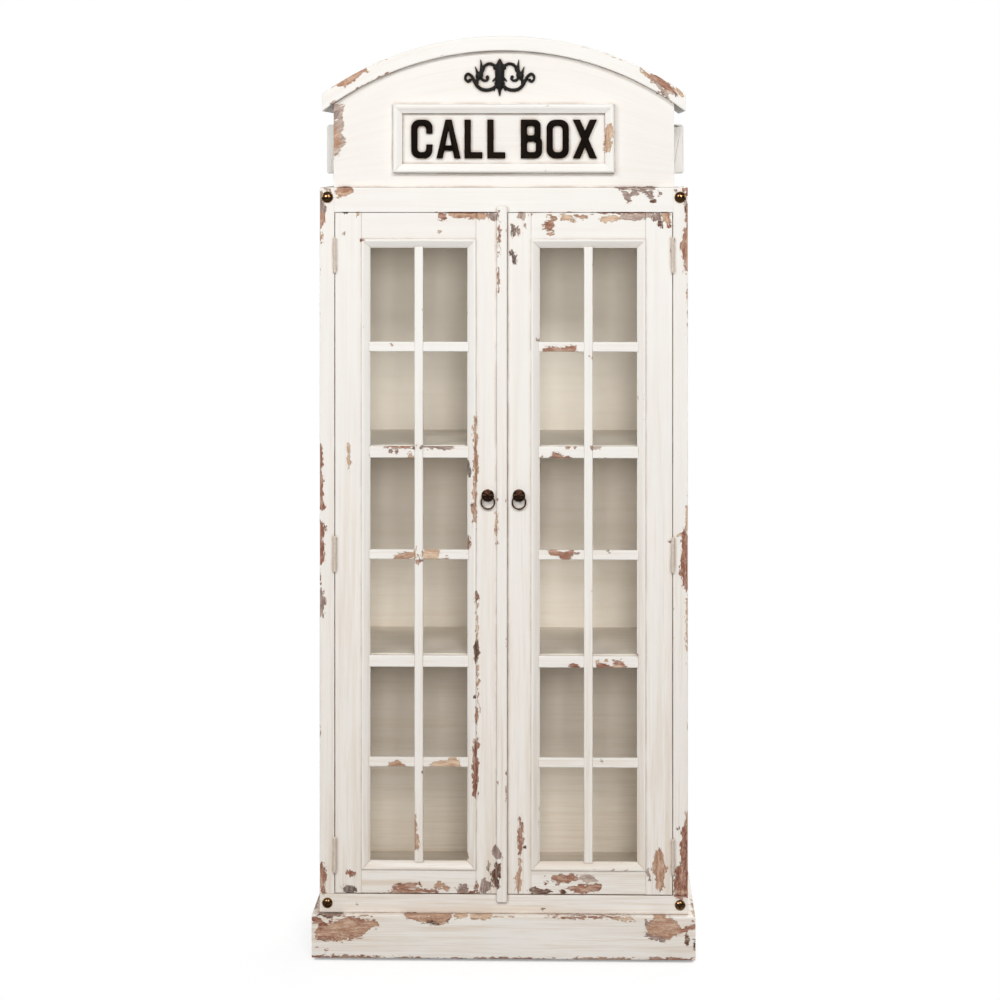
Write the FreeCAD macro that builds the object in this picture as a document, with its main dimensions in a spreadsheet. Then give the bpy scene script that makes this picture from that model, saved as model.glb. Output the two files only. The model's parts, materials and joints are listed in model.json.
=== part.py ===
import FreeCAD, Part
import Sketcher
import math
import os

# Glazed two-door display cabinet in the form of an old street call box, with an arched roof.
# Frame: +Z up, front faces -Y, x = 0 is the middle of the width, z = 0 is the floor.
# Left is -X and right is +X. All sizes are millimetres.

Vector = FreeCAD.Vector
doc = FreeCAD.newDocument("call_box_cabinet")
sheet = doc.addObject("Spreadsheet::Sheet", "Sizes")

# alias, value, note
SIZES = [
    # overall case
    ("total_height", 1900.0, "floor to the top of the arched roof"),
    ("body_half", 379.0, "half the width over the two front posts"),
    ("front_plane", 182.0, "posts, rails and doors are flush at y = -front_plane"),
    ("back_plane", 202.0, "rear edges of the case at y = +back_plane"),
    ("body_top", 1588.0, "top of the case box, under the pediment"),
    ("post_width", 30.0, "front post, seen from the front"),
    ("post_depth", 30.0, "front post and rails, front to back"),
    ("side_thick", 18.0, "side boards"),
    ("panel_thick", 18.0, "floor and top boards"),
    ("back_inner", 190.0, "inner face of the back panel"),
    ("back_thick", 8.0, "back panel"),
    ("top_rail_bottom", 1538.0, "underside of the rail over the doors"),
    ("stop_lip_drop", 17.0, "door stop lip below the top rail"),
    ("stop_lip_front", 159.5, "front face of the door stop lip, in front of the middle"),
    ("bottom_rail_top", 133.0, "top of the rail under the doors, and of the floor"),
    # plinth
    ("plinth_half", 394.0, "half the plinth width"),
    ("plinth_front_y", 200.0, "plinth front face, in front of the middle"),
    ("plinth_top", 94.0, "top of the plinth ledge"),
    ("plinth_board", 25.0, "plinth board thickness"),
    ("glide_height", 5.0, "furniture glides"),
    ("glide_radius", 15.0, "furniture glides, at the top"),
    ("block_size", 40.0, "glue blocks in the plinth corners"),
    # shelves
    ("shelf_upper_top", 1055.0, "upper shelf, top face"),
    ("shelf_lower_top", 624.0, "lower shelf, top face"),
    ("shelf_thick", 20.0, "shelf boards"),
    ("shelf_front_y", 150.0, "front edge of the shelves, in front of the middle"),
    ("cleat_size", 20.0, "battens under the shelves"),
    # pediment and roof
    ("pediment_half", 351.5, "half the pediment width"),
    ("pediment_front_y", 168.0, "front face of the pediment, in front of the middle"),
    ("pediment_board", 18.0, "pediment boards"),
    ("roof_half", 374.0, "half the roof width"),
    ("roof_radius", 650.0, "outer radius of the arch"),
    ("roof_thick", 30.0, "roof board"),
    ("roof_front_y", 182.0, "front edge of the roof, in front of the middle"),
    # sign
    ("sign_half_w", 228.0, "half the width of the sign frame"),
    ("sign_low", 1618.0, "bottom of the sign frame"),
    ("sign_high", 1760.0, "top of the sign frame"),
    ("sign_moulding", 19.0, "width of the sign moulding"),
    ("sign_board_thick", 3.0, "board behind the lettering"),
    ("letter_low", 1648.0, "foot of the lettering"),
    ("letter_height", 80.0, "height of the lettering"),
    ("letter_thick", 6.0, "thickness of the lettering"),
    ("side_sign_out", 23.0, "projection of the side sign blocks"),
    ("side_sign_low", 1616.0, "bottom of the side sign blocks"),
    ("side_sign_high", 1719.0, "top of the side sign blocks"),
    ("side_sign_length", 150.0, "side sign blocks, front to back"),
    # doors
    ("door_thick", 22.0, "door frames"),
    ("door_bottom", 135.0, "bottom edge of the doors"),
    ("door_top", 1536.0, "top edge of the doors"),
    ("door_edge", 346.5, "hinge edge of each door from the middle"),
    ("left_closing", 7.0, "closing edge of the left door, right of the middle"),
    ("right_closing", 9.0, "closing edge of the right door, right of the middle"),
    ("light_inner", 56.5, "frame opening, edge next to the middle"),
    ("light_outer", 292.7, "frame opening, edge next to the hinges"),
    ("light_low", 183.0, "frame opening, bottom"),
    ("light_high", 1482.0, "frame opening, top"),
    ("lip_width", 10.0, "rear lip that the glass rests on"),
    ("lip_thick", 6.0, "rear lip thickness"),
    ("glass_thick", 4.0, "glass"),
    ("glass_gap", 1.5, "gap round the glass"),
    ("bead_width", 18.0, "mitred glazing moulding"),
    ("bead_front_y", 185.0, "front of the glazing moulding"),
    ("bead_inner_y", 177.2, "inner edge of the glazing moulding"),
    ("muntin_width", 18.0, "upright glazing bar"),
    ("muntin_front_y", 181.0, "front of the upright glazing bar"),
    ("cross_front_y", 179.0, "front of the cross bars"),
    ("cross_thin", 20.0, "plain cross bars"),
    ("cross_thick", 24.0, "cross bars in front of the shelves"),
    ("cross_a", 1260.0, "centre height of cross bar"),
    ("cross_b", 1043.0, "centre height of cross bar"),
    ("cross_c", 832.0, "centre height of cross bar"),
    ("cross_d", 612.0, "centre height of cross bar"),
    ("cross_e", 404.5, "centre height of cross bar"),
    ("tenon_length", 20.0, "rail tenons"),
    ("tenon_thick", 8.0, "rail tenons"),
    ("astragal_left", 14.0, "left edge of the meeting bead, from the middle"),
    ("astragal_thick", 8.0, "meeting bead"),
    ("astragal_low", 119.0, "meeting bead, bottom"),
    ("astragal_high", 1548.0, "meeting bead, top"),
    # ring pulls
    ("pull_from_middle", 32.0, "ring pulls from the middle"),
    ("pull_height", 956.0, "centre of the pull boss"),
    ("ring_major", 13.75, "ring, centreline radius"),
    ("ring_wire", 1.75, "ring, wire radius"),
    ("ring_pivot_y", 187.8, "pivot of the ring in front of the middle"),
    ("ring_pivot_z", 954.75, "pivot of the ring above the floor"),
    ("ring_hole", 3.3, "radius of the eye that the ring hangs in"),
    # hinges
    ("barrel_x", 347.75, "hinge axis from the middle"),
    ("barrel_y", 186.0, "hinge axis in front of the middle"),
    ("barrel_radius", 3.5, "hinge knuckles"),
    ("pin_radius", 1.7, "hinge pin"),
    ("bore_radius", 1.75, "running bore of the door knuckles"),
    ("hinge_length", 70.0, "butt hinge"),
    ("leaf_thick", 1.0, "hinge leaves"),
    ("leaf_depth", 20.0, "hinge leaves"),
    ("hinge_top", 1449.0, "hinge centre height"),
    ("hinge_mid", 833.0, "hinge centre height"),
    ("hinge_low", 213.0, "hinge centre height"),
    # fittings
    ("stud_x", 363.0, "corner studs from the middle"),
    ("stud_top_z", 1568.0, "upper studs"),
    ("stud_low_z", 114.0, "lower studs"),
    ("stud_radius", 12.0, "upper stud heads"),
    ("magnet_x", 34.0, "magnets from the middle"),
    ("magnet_z", 1528.0, "magnet height"),
]


# ---------------------------------------------------------------- driven sizes
class Size:
    """A length with its value and the sheet expression that drives it."""

    def __init__(self, value, text):
        self.value = float(value)
        self.text = text

    @staticmethod
    def of(other):
        return other if isinstance(other, Size) else Size(other, repr(float(other)))

    def joined(self, sign, other, value):
        return Size(value, "(%s %s %s)" % (self.text, sign, other.text))

    def __add__(self, other):
        other = Size.of(other)
        return self.joined("+", other, self.value + other.value)

    def __sub__(self, other):
        other = Size.of(other)
        return self.joined("-", other, self.value - other.value)

    def __mul__(self, other):
        other = Size.of(other)
        return self.joined("*", other, self.value * other.value)

    __rmul__ = __mul__

    def __truediv__(self, other):
        other = Size.of(other)
        return self.joined("/", other, self.value / other.value)

    def __neg__(self):
        return Size(0 - self.value, "(0 - " + self.text + ")")


class Dimensions:
    """Holds one Size for each alias in the sheet."""


dim = Dimensions()
for row, (alias, value, note) in enumerate(SIZES, 1):
    sheet.set("A%d" % row, alias)
    sheet.set("B%d" % row, str(value))
    sheet.set("C%d" % row, note)
    sheet.setAlias("B%d" % row, alias)
    setattr(dim, alias, Size(value, "Sizes." + alias))
doc.recompute()


def drive(obj, prop, size):
    """Binds a property to the sheet, unless the size is a plain number."""
    if "Sizes." in size.text:
        obj.setExpression(prop, "(" + size.text + ") * 1 mm")


def set_sizes(obj, **sizes):
    for prop, size in sizes.items():
        size = Size.of(size)
        setattr(obj, prop, size.value)
        drive(obj, prop, size)


# ---------------------------------------------------------------- document helpers
UP = (0, 0, 1)
FORWARD = (0, -1, 0)
BACKWARD = (0, 1, 0)
SIDES = ((-1, "left"), (1, "right"))
pieces = []


def piece(obj):
    """Marks an object for export. Its label is the name of its file."""
    pieces.append(obj)
    return obj


def turn_to(direction):
    """The rotation that takes +Z to a direction."""
    return FreeCAD.Rotation(Vector(*UP), Vector(*direction))


def place(obj, x, y, z, direction=UP):
    at = [Size.of(size) for size in (x, y, z)]
    obj.Placement = FreeCAD.Placement(Vector(*[size.value for size in at]), turn_to(direction))
    for axis, size in zip("xyz", at):
        drive(obj, "Placement.Base." + axis, size)


def side_span(side, inner, outer):
    """Low and high x of something between two distances from the middle, on one side."""
    ends = (side * inner, side * outer)
    return ends if side > 0 else ends[::-1]


def box(name, x0, x1, y0, y1, z0, z1):
    x0, x1, y0, y1, z0, z1 = [Size.of(size) for size in (x0, x1, y0, y1, z0, z1)]
    obj = doc.addObject("Part::Box", name)
    set_sizes(obj, Length=x1 - x0, Width=y1 - y0, Height=z1 - z0)
    place(obj, x0, y0, z0)
    return obj


def cylinder(name, radius, length, x, y, z, direction):
    obj = doc.addObject("Part::Cylinder", name)
    set_sizes(obj, Radius=radius, Height=length)
    place(obj, x, y, z, direction)
    return obj


def cone(name, start_radius, end_radius, length, x, y, z, direction=UP):
    obj = doc.addObject("Part::Cone", name)
    set_sizes(obj, Radius1=start_radius, Radius2=end_radius, Height=length)
    place(obj, x, y, z, direction)
    return obj


def group(name, objs):
    obj = doc.addObject("Part::Compound", name)
    obj.Links = objs
    return obj


def fused(name, objs):
    obj = doc.addObject("Part::MultiFuse", name)
    obj.Shapes = objs
    obj.Refine = True
    return obj


def cut(name, base, tools):
    obj = doc.addObject("Part::Cut", name)
    obj.Base = base
    obj.Tool = tools[0] if len(tools) == 1 else group(name + "_tools", tools)
    return obj


def common(name, base, tool):
    obj = doc.addObject("Part::Common", name)
    obj.Base = base
    obj.Tool = tool
    return obj


def coded(name, shape):
    """A piece whose finished shape already stands in its place."""
    obj = doc.addObject("Part::Feature", name)
    obj.Shape = shape
    obj.Placement = FreeCAD.Placement()
    return piece(obj)


def runs_along(edge, axis):
    step = edge.Vertexes[-1].Point - edge.Vertexes[0].Point
    parts = [abs(step.x), abs(step.y), abs(step.z)]
    main = parts["xyz".index(axis)]
    return main > 1e-3 and sum(parts) - main < 1e-3


def lies_at(edge, axis, value):
    return all(abs(getattr(vertex.Point, axis) - value) < 1e-3 for vertex in edge.Vertexes)


def outline(body, name, plane, points):
    """A closed sketch whose corners are each held to the sheet."""
    sketch = body.newObject("Sketcher::SketchObject", name)
    support = next(part for part in body.Origin.OriginFeatures if part.Role == plane)
    sketch.AttachmentSupport = (support, [""])
    sketch.MapMode = "FlatFace"
    corners = [(Size.of(a), Size.of(b)) for a, b in points]
    count = len(corners)
    for start, end in zip(corners, corners[1:] + corners[:1]):
        ends = [Vector(a.value, b.value, 0) for a, b in (start, end)]
        sketch.addGeometry(Part.LineSegment(*ends), False)
    for i in range(count):
        sketch.addConstraint(Sketcher.Constraint("Coincident", i, 2, (i + 1) % count, 1))
    for i, corner in enumerate(corners):
        for kind, size in zip(("DistanceX", "DistanceY"), corner):
            k = sketch.addConstraint(Sketcher.Constraint(kind, -1, 1, i, 1, size.value))
            drive(sketch, "Constraints[%d]" % k, size)
    return sketch


def prism(name, plane, points, length, at=(0, 0, 0), rounding=None):
    """A padded outline. XY pads go up, YZ pads go right.

    rounding is (edge axis, face axis, face position, radius): it rounds the edges that run
    along the first axis and lie on that face. The position is in the body's own frame.
    """
    body = doc.addObject("PartDesign::Body", name)
    sketch = outline(body, name + "_outline", plane, points)
    pad = body.newObject("PartDesign::Pad", name + "_pad")
    pad.Profile = sketch
    set_sizes(pad, Length=length)
    sketch.Visibility = False
    body.Tip = pad
    if rounding:
        edge_axis, face_axis, position, radius = rounding
        doc.recompute()
        names = [
            "Edge%d" % number
            for number, edge in enumerate(pad.Shape.Edges, 1)
            if runs_along(edge, edge_axis) and lies_at(edge, face_axis, position)
        ]
        if not names:
            raise RuntimeError("no edge to round on " + name)
        fillet = body.newObject("PartDesign::Fillet", name + "_round")
        fillet.Base = (pad, names)
        fillet.Radius = radius
        body.Tip = fillet
    place(body, *at)
    return body


def board(name, x0, x1, y0, y1, z0, z1, rounding=None):
    """A plain rectangular board, placed by its low corner, which is its own origin."""
    x0, x1, y0, y1, z0, z1 = [Size.of(size) for size in (x0, x1, y0, y1, z0, z1)]
    width, depth = x1 - x0, y1 - y0
    corners = [(0, 0), (width, 0), (width, depth), (0, depth)]
    return prism(name, "XY_Plane", corners, z1 - z0, (x0, y0, z0), rounding)


# ---------------------------------------------------------------- shared places
case_front = -dim.front_plane
case_back = dim.back_plane
rail_back = case_front + dim.post_depth
side_inner = dim.body_half - dim.side_thick
post_inner = dim.body_half - dim.post_width

# ---------------------------------------------------------------- plinth
PLINTH_ROUND = 3.0
GLIDE_TAPER = 2.0  # the glides are this much smaller in radius at the floor

plinth_height = dim.plinth_top - dim.glide_height
plinth_out, plinth_in = dim.plinth_half, dim.plinth_half - dim.plinth_board
plinth_front = -dim.plinth_front_y
plinth_front_in = -(dim.plinth_front_y - dim.plinth_board)
plinth_back_in = case_back - dim.plinth_board


def plinth_prism(name, points, rounding):
    return piece(
        prism(name, "XY_Plane", points, plinth_height, (0, 0, dim.glide_height), rounding)
    )


# the front board is mitred to the two side boards
plinth_prism(
    "plinth_front",
    [(-plinth_out, plinth_front), (plinth_out, plinth_front),
     (plinth_in, plinth_front_in), (-plinth_in, plinth_front_in)],
    ("x", "y", plinth_front.value, PLINTH_ROUND),
)
for side, tag in SIDES:
    plinth_prism(
        "plinth_side_" + tag,
        [(side * plinth_out, plinth_front), (side * plinth_in, plinth_front_in),
         (side * plinth_in, case_back), (side * plinth_out, case_back)],
        ("y", "x", side * plinth_out.value, PLINTH_ROUND),
    )
piece(board("plinth_back", -plinth_in, plinth_in, plinth_back_in, case_back,
            dim.glide_height, dim.plinth_top))

blocks, glides = [], []
for y0, y1 in (
    (plinth_front_in, plinth_front_in + dim.block_size),
    (plinth_back_in - dim.block_size, plinth_back_in),
):
    for side, _ in SIDES:
        x0, x1 = side_span(side, plinth_in - dim.block_size, plinth_in)
        blocks.append(box("plinth_block", x0, x1, y0, y1, dim.glide_height, dim.plinth_top))
        glides.append(cone("glide", dim.glide_radius - GLIDE_TAPER, dim.glide_radius,
                           dim.glide_height, (x0 + x1) / 2, (y0 + y1) / 2, 0))
piece(group("plinth_corner_blocks", blocks))
piece(group("floor_glides", glides))

# ---------------------------------------------------------------- hinge screws and stud holes
HINGES = (dim.hinge_top, dim.hinge_mid, dim.hinge_low)
SCREW_OFFSETS = (-25.0, 0.0, 25.0)  # along the hinge, from its centre
SCREW_RADIUS, SCREW_LENGTH = 1.3, 14.0
SCREW_HEAD_RADIUS, SCREW_HEAD_DEPTH = 2.5, 0.8
SCREW_SETBACK = 11.0  # screw line behind the front plane
STUD_SHANK_RADIUS, STUD_SHANK_LENGTH = 1.6, 14.0


def screws(x_face, into):
    """Countersunk screws along X through the hinge leaves. into is the sign of their direction."""
    y = case_front + SCREW_SETBACK
    direction = (into, 0, 0)
    made = []
    for hinge_z in HINGES:
        for offset in SCREW_OFFSETS:
            z = hinge_z + offset
            shank = cylinder("screw_shank", SCREW_RADIUS, SCREW_LENGTH, x_face, y, z, direction)
            head = cone("screw_head", SCREW_HEAD_RADIUS, SCREW_RADIUS, SCREW_HEAD_DEPTH,
                        x_face, y, z, direction)
            made.append(fused("screw", [shank, head]))
    return made


def stud_hole(x, z):
    return cylinder("stud_hole", STUD_SHANK_RADIUS, STUD_SHANK_LENGTH, x, case_front, z, BACKWARD)


# ---------------------------------------------------------------- case
REAR_EDGE_ROUND = 2.0
MAGNET_RADIUS, MAGNET_LENGTH = 5.0, 7.0

piece(board("cabinet_floor", -side_inner, side_inner, rail_back, dim.back_inner,
            dim.bottom_rail_top - dim.panel_thick, dim.bottom_rail_top))

rail_blank = board("bottom_rail_blank", -dim.body_half, dim.body_half, case_front, rail_back,
                   dim.plinth_top, dim.bottom_rail_top)
piece(cut("bottom_rail", rail_blank,
          [stud_hole(side * dim.stud_x, dim.stud_low_z) for side, _ in SIDES]))

post_screws = {
    side: screws(side * (post_inner - dim.leaf_thick), side) for side, _ in SIDES
}
for side, tag in SIDES:
    name = "front_post_" + tag
    x0, x1 = side_span(side, post_inner, dim.body_half)
    blank = board(name + "_blank", x0, x1, case_front, rail_back,
                  dim.bottom_rail_top, dim.body_top)
    hole = stud_hole(side * dim.stud_x, dim.stud_top_z)
    piece(cut(name, blank, [hole] + post_screws[side]))

# rail over the doors, with a lip behind that the doors shut against
lip_front = -dim.stop_lip_front
lip_bottom = dim.top_rail_bottom - dim.stop_lip_drop
rail_blank = prism(
    "top_rail_blank", "YZ_Plane",
    [(case_front, dim.top_rail_bottom), (lip_front, dim.top_rail_bottom),
     (lip_front, lip_bottom), (rail_back, lip_bottom),
     (rail_back, dim.body_top), (case_front, dim.body_top)],
    post_inner * 2, (-post_inner, 0, 0),
)
magnets = [
    cylinder("magnet", MAGNET_RADIUS, MAGNET_LENGTH,
             side * dim.magnet_x, lip_front, dim.magnet_z, BACKWARD)
    for side, _ in SIDES
]
piece(cut("top_rail", rail_blank, magnets))
piece(group("magnet_catches", magnets))

for side, tag in SIDES:
    x0, x1 = side_span(side, side_inner, dim.body_half)
    piece(board("side_panel_" + tag, x0, x1, rail_back, case_back, dim.plinth_top, dim.body_top,
                ("z", "y", (case_back - rail_back).value, REAR_EDGE_ROUND)))
piece(board("top_panel", -side_inner, side_inner, rail_back, case_back,
            dim.body_top - dim.panel_thick, dim.body_top))
piece(board("back_panel", -side_inner, side_inner,
            dim.back_inner, dim.back_inner + dim.back_thick,
            dim.plinth_top, dim.body_top - dim.panel_thick))

# ---------------------------------------------------------------- shelves
SHELF_END_GAP = 0.5
SHELF_ROUND = 2.0
CLEAT_FRONT, CLEAT_BACK = -120, 170

shelf_half = side_inner - SHELF_END_GAP
cleats = []
for tag, shelf_top in (("upper", dim.shelf_upper_top), ("lower", dim.shelf_lower_top)):
    underside = shelf_top - dim.shelf_thick
    piece(board("shelf_" + tag, -shelf_half, shelf_half, -dim.shelf_front_y, dim.back_inner,
                underside, shelf_top, ("x", "y", 0.0, SHELF_ROUND)))
    for side, _ in SIDES:
        x0, x1 = side_span(side, side_inner - dim.cleat_size, side_inner)
        cleats.append(box("cleat", x0, x1, CLEAT_FRONT, CLEAT_BACK,
                          underside - dim.cleat_size, underside))
piece(group("shelf_cleats", cleats))

# ---------------------------------------------------------------- pediment and arched roof
ARCH_HALF_LENGTH = 300  # the arch cylinders run past the front and back of the case
ROOF_TRIM_LOW = 1600  # below the lower edges of the roof
TRIM_MARGIN = 5  # how far the trimming boxes rise above the arch

arch_axis_z = dim.total_height - dim.roof_radius
arch_inner_radius = dim.roof_radius - dim.roof_thick
pediment_front = -dim.pediment_front_y
pediment_front_in = pediment_front + dim.pediment_board
pediment_back_in = case_back - dim.pediment_board


def arch_cylinder(name, radius):
    return cylinder(name, radius, 2 * ARCH_HALF_LENGTH, 0, -ARCH_HALF_LENGTH, arch_axis_z,
                    BACKWARD)


def under_arch(name, x0, x1, y0, y1):
    """A pediment board whose top follows the underside of the roof."""
    top = dim.total_height - dim.roof_thick + TRIM_MARGIN
    blank = box(name + "_blank", x0, x1, y0, y1, dim.body_top, top)
    return piece(common(name, blank, arch_cylinder(name + "_arch", arch_inner_radius)))


under_arch("pediment_front", -dim.pediment_half, dim.pediment_half,
           pediment_front, pediment_front_in)
for side, tag in SIDES:
    x0, x1 = side_span(side, dim.pediment_half - dim.pediment_board, dim.pediment_half)
    under_arch("pediment_side_" + tag, x0, x1, pediment_front_in, pediment_back_in)
under_arch("pediment_back", -dim.pediment_half, dim.pediment_half, pediment_back_in, case_back)

roof_tube = cut("roof_tube", arch_cylinder("roof_outer", dim.roof_radius),
                [arch_cylinder("roof_inner", arch_inner_radius)])
roof_trim = box("roof_trim", -dim.roof_half, dim.roof_half, -dim.roof_front_y, case_back,
                ROOF_TRIM_LOW, dim.total_height + TRIM_MARGIN)
piece(common("arched_roof", roof_tube, roof_trim))


# ---------------------------------------------------------------- mitred mouldings
def mitred_frame(x0, x1, z0, z1, profile, base_y):
    """Four lengths of moulding, mitred at the corners.

    profile is (distance in from the outer edge, height forward of base_y).
    """
    # x, z, then the inward direction in x and z
    corners = [(x0, z0, 1, 1), (x1, z0, -1, 1), (x1, z1, -1, -1), (x0, z1, 1, -1)]
    sections = []
    for x, z, in_x, in_z in corners:
        points = [Vector(x + in_x * inset, base_y - height, z + in_z * inset)
                  for inset, height in profile]
        sections.append(Part.makePolygon(points + [points[0]]))
    return Part.makeCompound(
        [Part.makeLoft([sections[i], sections[(i + 1) % 4]], True, True) for i in range(4)]
    )


# ---------------------------------------------------------------- sign frame and board
sign_width = dim.sign_moulding.value
# distance in from the outer edge, height forward of the pediment
SIGN_PROFILE = [
    (0, 0), (0, 12), (1.5, 15.5), (4, 17), (8, 16.6),
    (sign_width - 2, 12), (sign_width - 0.5, 11.4), (sign_width, 11), (sign_width, 0),
]
coded("sign_frame", mitred_frame(
    -dim.sign_half_w.value, dim.sign_half_w.value, dim.sign_low.value, dim.sign_high.value,
    SIGN_PROFILE, pediment_front.value,
))
sign_board_half = dim.sign_half_w - dim.sign_moulding
sign_board_front = pediment_front - dim.sign_board_thick
piece(box("sign_board", -sign_board_half, sign_board_half, sign_board_front, pediment_front,
          dim.sign_low + dim.sign_moulding, dim.sign_high - dim.sign_moulding))


# ---------------------------------------------------------------- flat faces in the XZ plane
def plate(points):
    corners = [Vector(x, 0, z) for x, z in points]
    return Part.Face(Part.makePolygon(corners + [corners[0]]))


def rect(x0, x1, z0, z1):
    return plate([(x0, z0), (x1, z0), (x1, z1), (x0, z1)])


def rounded_plate(x0, x1, z0, z1, radius):
    """A rectangle with each corner turned in short straight steps."""
    steps = 10
    left, right, low, high = x0 + radius, x1 - radius, z0 + radius, z1 - radius
    points = []
    for x, z, start in ((right, low, -90), (right, high, 0), (left, high, 90), (left, low, 180)):
        for k in range(steps + 1):
            angle = math.radians(start + 90.0 * k / steps)
            points.append((x + radius * math.cos(angle), z + radius * math.sin(angle)))
    return plate(points)


# ---------------------------------------------------------------- lettering
# Plain block capitals. Each function draws one letter of a given width, foot at z = 0.
STROKE = 13.0
CAP = dim.letter_height.value


def letter_a(wide):
    middle = wide / 2.0
    lean = (middle - STROKE * 0.5) / CAP  # sideways run of a leg per millimetre of height
    legs = plate([
        (0, 0), (STROKE, 0), (middle, CAP - 22), (wide - STROKE, 0), (wide, 0),
        (middle + STROKE * 0.5, CAP), (middle - STROKE * 0.5, CAP),
    ])
    bar_end = 9 + 14 * lean
    return legs.fuse(rect(9 + 14 * lean, wide - 9 - 14 * lean, 16, 27)).removeSplitter() \
        if bar_end else legs


def letter_b(wide):
    waist_low = CAP / 2 - STROKE / 2 + 1
    waist_high = CAP / 2 + STROKE / 2 + 1
    upper = rounded_plate(-20, wide - 3, waist_low, CAP, 13)
    lower = rounded_plate(-20, wide, 0, waist_high, 15)
    # the bowls start left of the letter, so that its left edge is trimmed square
    face = upper.fuse(lower).common(rect(0, wide + 1, -1, CAP + 1)).removeSplitter()
    face = face.cut(rounded_plate(STROKE, wide - STROKE, STROKE, waist_low, 5))
    return face.cut(rounded_plate(STROKE, wide - 3 - STROKE, waist_high, CAP - STROKE, 5))


def round_letter(wide, outer_radius, inner_radius):
    hollow = rounded_plate(STROKE, wide - STROKE, STROKE, CAP - STROKE, inner_radius)
    return rounded_plate(0, wide, 0, CAP, outer_radius).cut(hollow)


def letter_c(wide):
    return round_letter(wide, 17, 7).cut(rect(wide - STROKE - 1, wide + 1, 29, CAP - 29))


def letter_l(wide):
    return plate([(0, 0), (wide, 0), (wide, STROKE), (STROKE, STROKE), (STROKE, CAP), (0, CAP)])


def letter_o(wide):
    return round_letter(wide, 18, 8)


def letter_x(wide):
    foot = STROKE + 2
    rising = plate([(0, 0), (foot, 0), (wide, CAP), (wide - foot, CAP)])
    falling = plate([(wide, 0), (wide - foot, 0), (0, CAP), (foot, CAP)])
    return rising.fuse(falling).removeSplitter()


# letter, width, space after it
WORDS = (
    (letter_c, 44, 8), (letter_a, 50, 8), (letter_l, 37, 10), (letter_l, 37, 32),
    (letter_b, 44, 9), (letter_o, 46, 8), (letter_x, 50, 0),
)
WORDS_SHIFT = 1.0  # the lettering stands this far right of the middle

x = -sum(wide + space for _, wide, space in WORDS) / 2.0 + WORDS_SHIFT
letters = []
for draw, wide, space in WORDS:
    bodies = []
    for face in draw(wide).Faces:
        face.translate(Vector(x, sign_board_front.value, dim.letter_low.value))
        bodies.append(face.extrude(Vector(0, -dim.letter_thick.value, 0)))
    letter = bodies[0]
    if len(bodies) > 1:
        letter = letter.fuse(bodies[1:]).removeSplitter()
    letters.extend(letter.Solids)
    x += wide + space
coded("sign_letters", Part.makeCompound(letters))

# ---------------------------------------------------------------- side sign blocks
SIDE_SIGN_ROUND = 6.0

side_sign_y = (case_back - dim.pediment_front_y) / 2
side_sign_face = dim.pediment_half + dim.side_sign_out
side_signs = []
for side, tag in SIDES:
    x0, x1 = side_span(side, dim.pediment_half, side_sign_face)
    blank = box("side_sign_" + tag, x0, x1,
                side_sign_y - dim.side_sign_length / 2, side_sign_y + dim.side_sign_length / 2,
                dim.side_sign_low, dim.side_sign_high)
    doc.recompute()
    fillet = doc.addObject("Part::Fillet", "side_sign_round_" + tag)
    fillet.Base = blank
    fillet.Edges = [
        (number, SIDE_SIGN_ROUND, SIDE_SIGN_ROUND)
        for number, edge in enumerate(blank.Shape.Edges, 1)
        if lies_at(edge, "x", side * side_sign_face.value)
    ]
    side_signs.append(fillet)
piece(group("side_sign_blocks", side_signs))

# ---------------------------------------------------------------- cast scroll ornament
ORNAMENT_X = -8.0
ORNAMENT_THICK = 5.0
CURVE_STEPS = 5  # straight steps between two points of a scroll
DISC_STEPS = 18

# right half of the central body: x from its own middle, z above the floor
BODY_HALF_OUTLINE = [
    (0, 1854.0), (6, 1847), (13.5, 1840), (14.5, 1834), (11, 1826), (10, 1818),
    (14, 1812), (17, 1806), (13, 1799), (9, 1794), (5, 1786), (0, 1775.5),
]
# right-hand scrolls: points (x, z) on the centreline, width at the start, width at the end
SCROLLS = [
    ([(11, 1838), (19, 1843), (29, 1840), (37, 1829), (40, 1818), (35, 1809), (27, 1808),
      (23, 1813)], 6.0, 4.0),
    ([(8, 1797), (18, 1789), (32, 1788.5), (44, 1795), (51, 1806), (58, 1819), (66, 1823.5),
      (71, 1817), (69, 1808), (62, 1805)], 6.0, 4.0),
    ([(38, 1825), (37, 1838), (39, 1852)], 6.0, 1.6),
    ([(42, 1814), (45, 1825), (48, 1836)], 5.0, 1.6),
    ([(40, 1820), (46, 1812), (50, 1802)], 5.0, 5.0),
]
# right-hand discs on the scrolls: x, z, radius
DISCS = ((24, 1813.5, 3.6), (62, 1805.5, 3.8), (39, 1822, 4.6), (49, 1803, 3.6))


def smooth_line(points):
    """A Catmull-Rom curve through the points, as a list of closer points."""
    line = []
    last = len(points) - 1
    for i in range(last):
        before, start = points[max(i - 1, 0)], points[i]
        end, after = points[i + 1], points[min(i + 2, last)]
        for k in range(CURVE_STEPS):
            t = k / float(CURVE_STEPS)
            line.append(tuple(
                0.5 * (2 * b + (c - a) * t + (2 * a - 5 * b + 4 * c - d) * t * t
                       + (3 * b - a - 3 * c + d) * t ** 3)
                for a, b, c, d in zip(before, start, end, after)
            ))
    line.append(points[-1])
    return line


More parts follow.
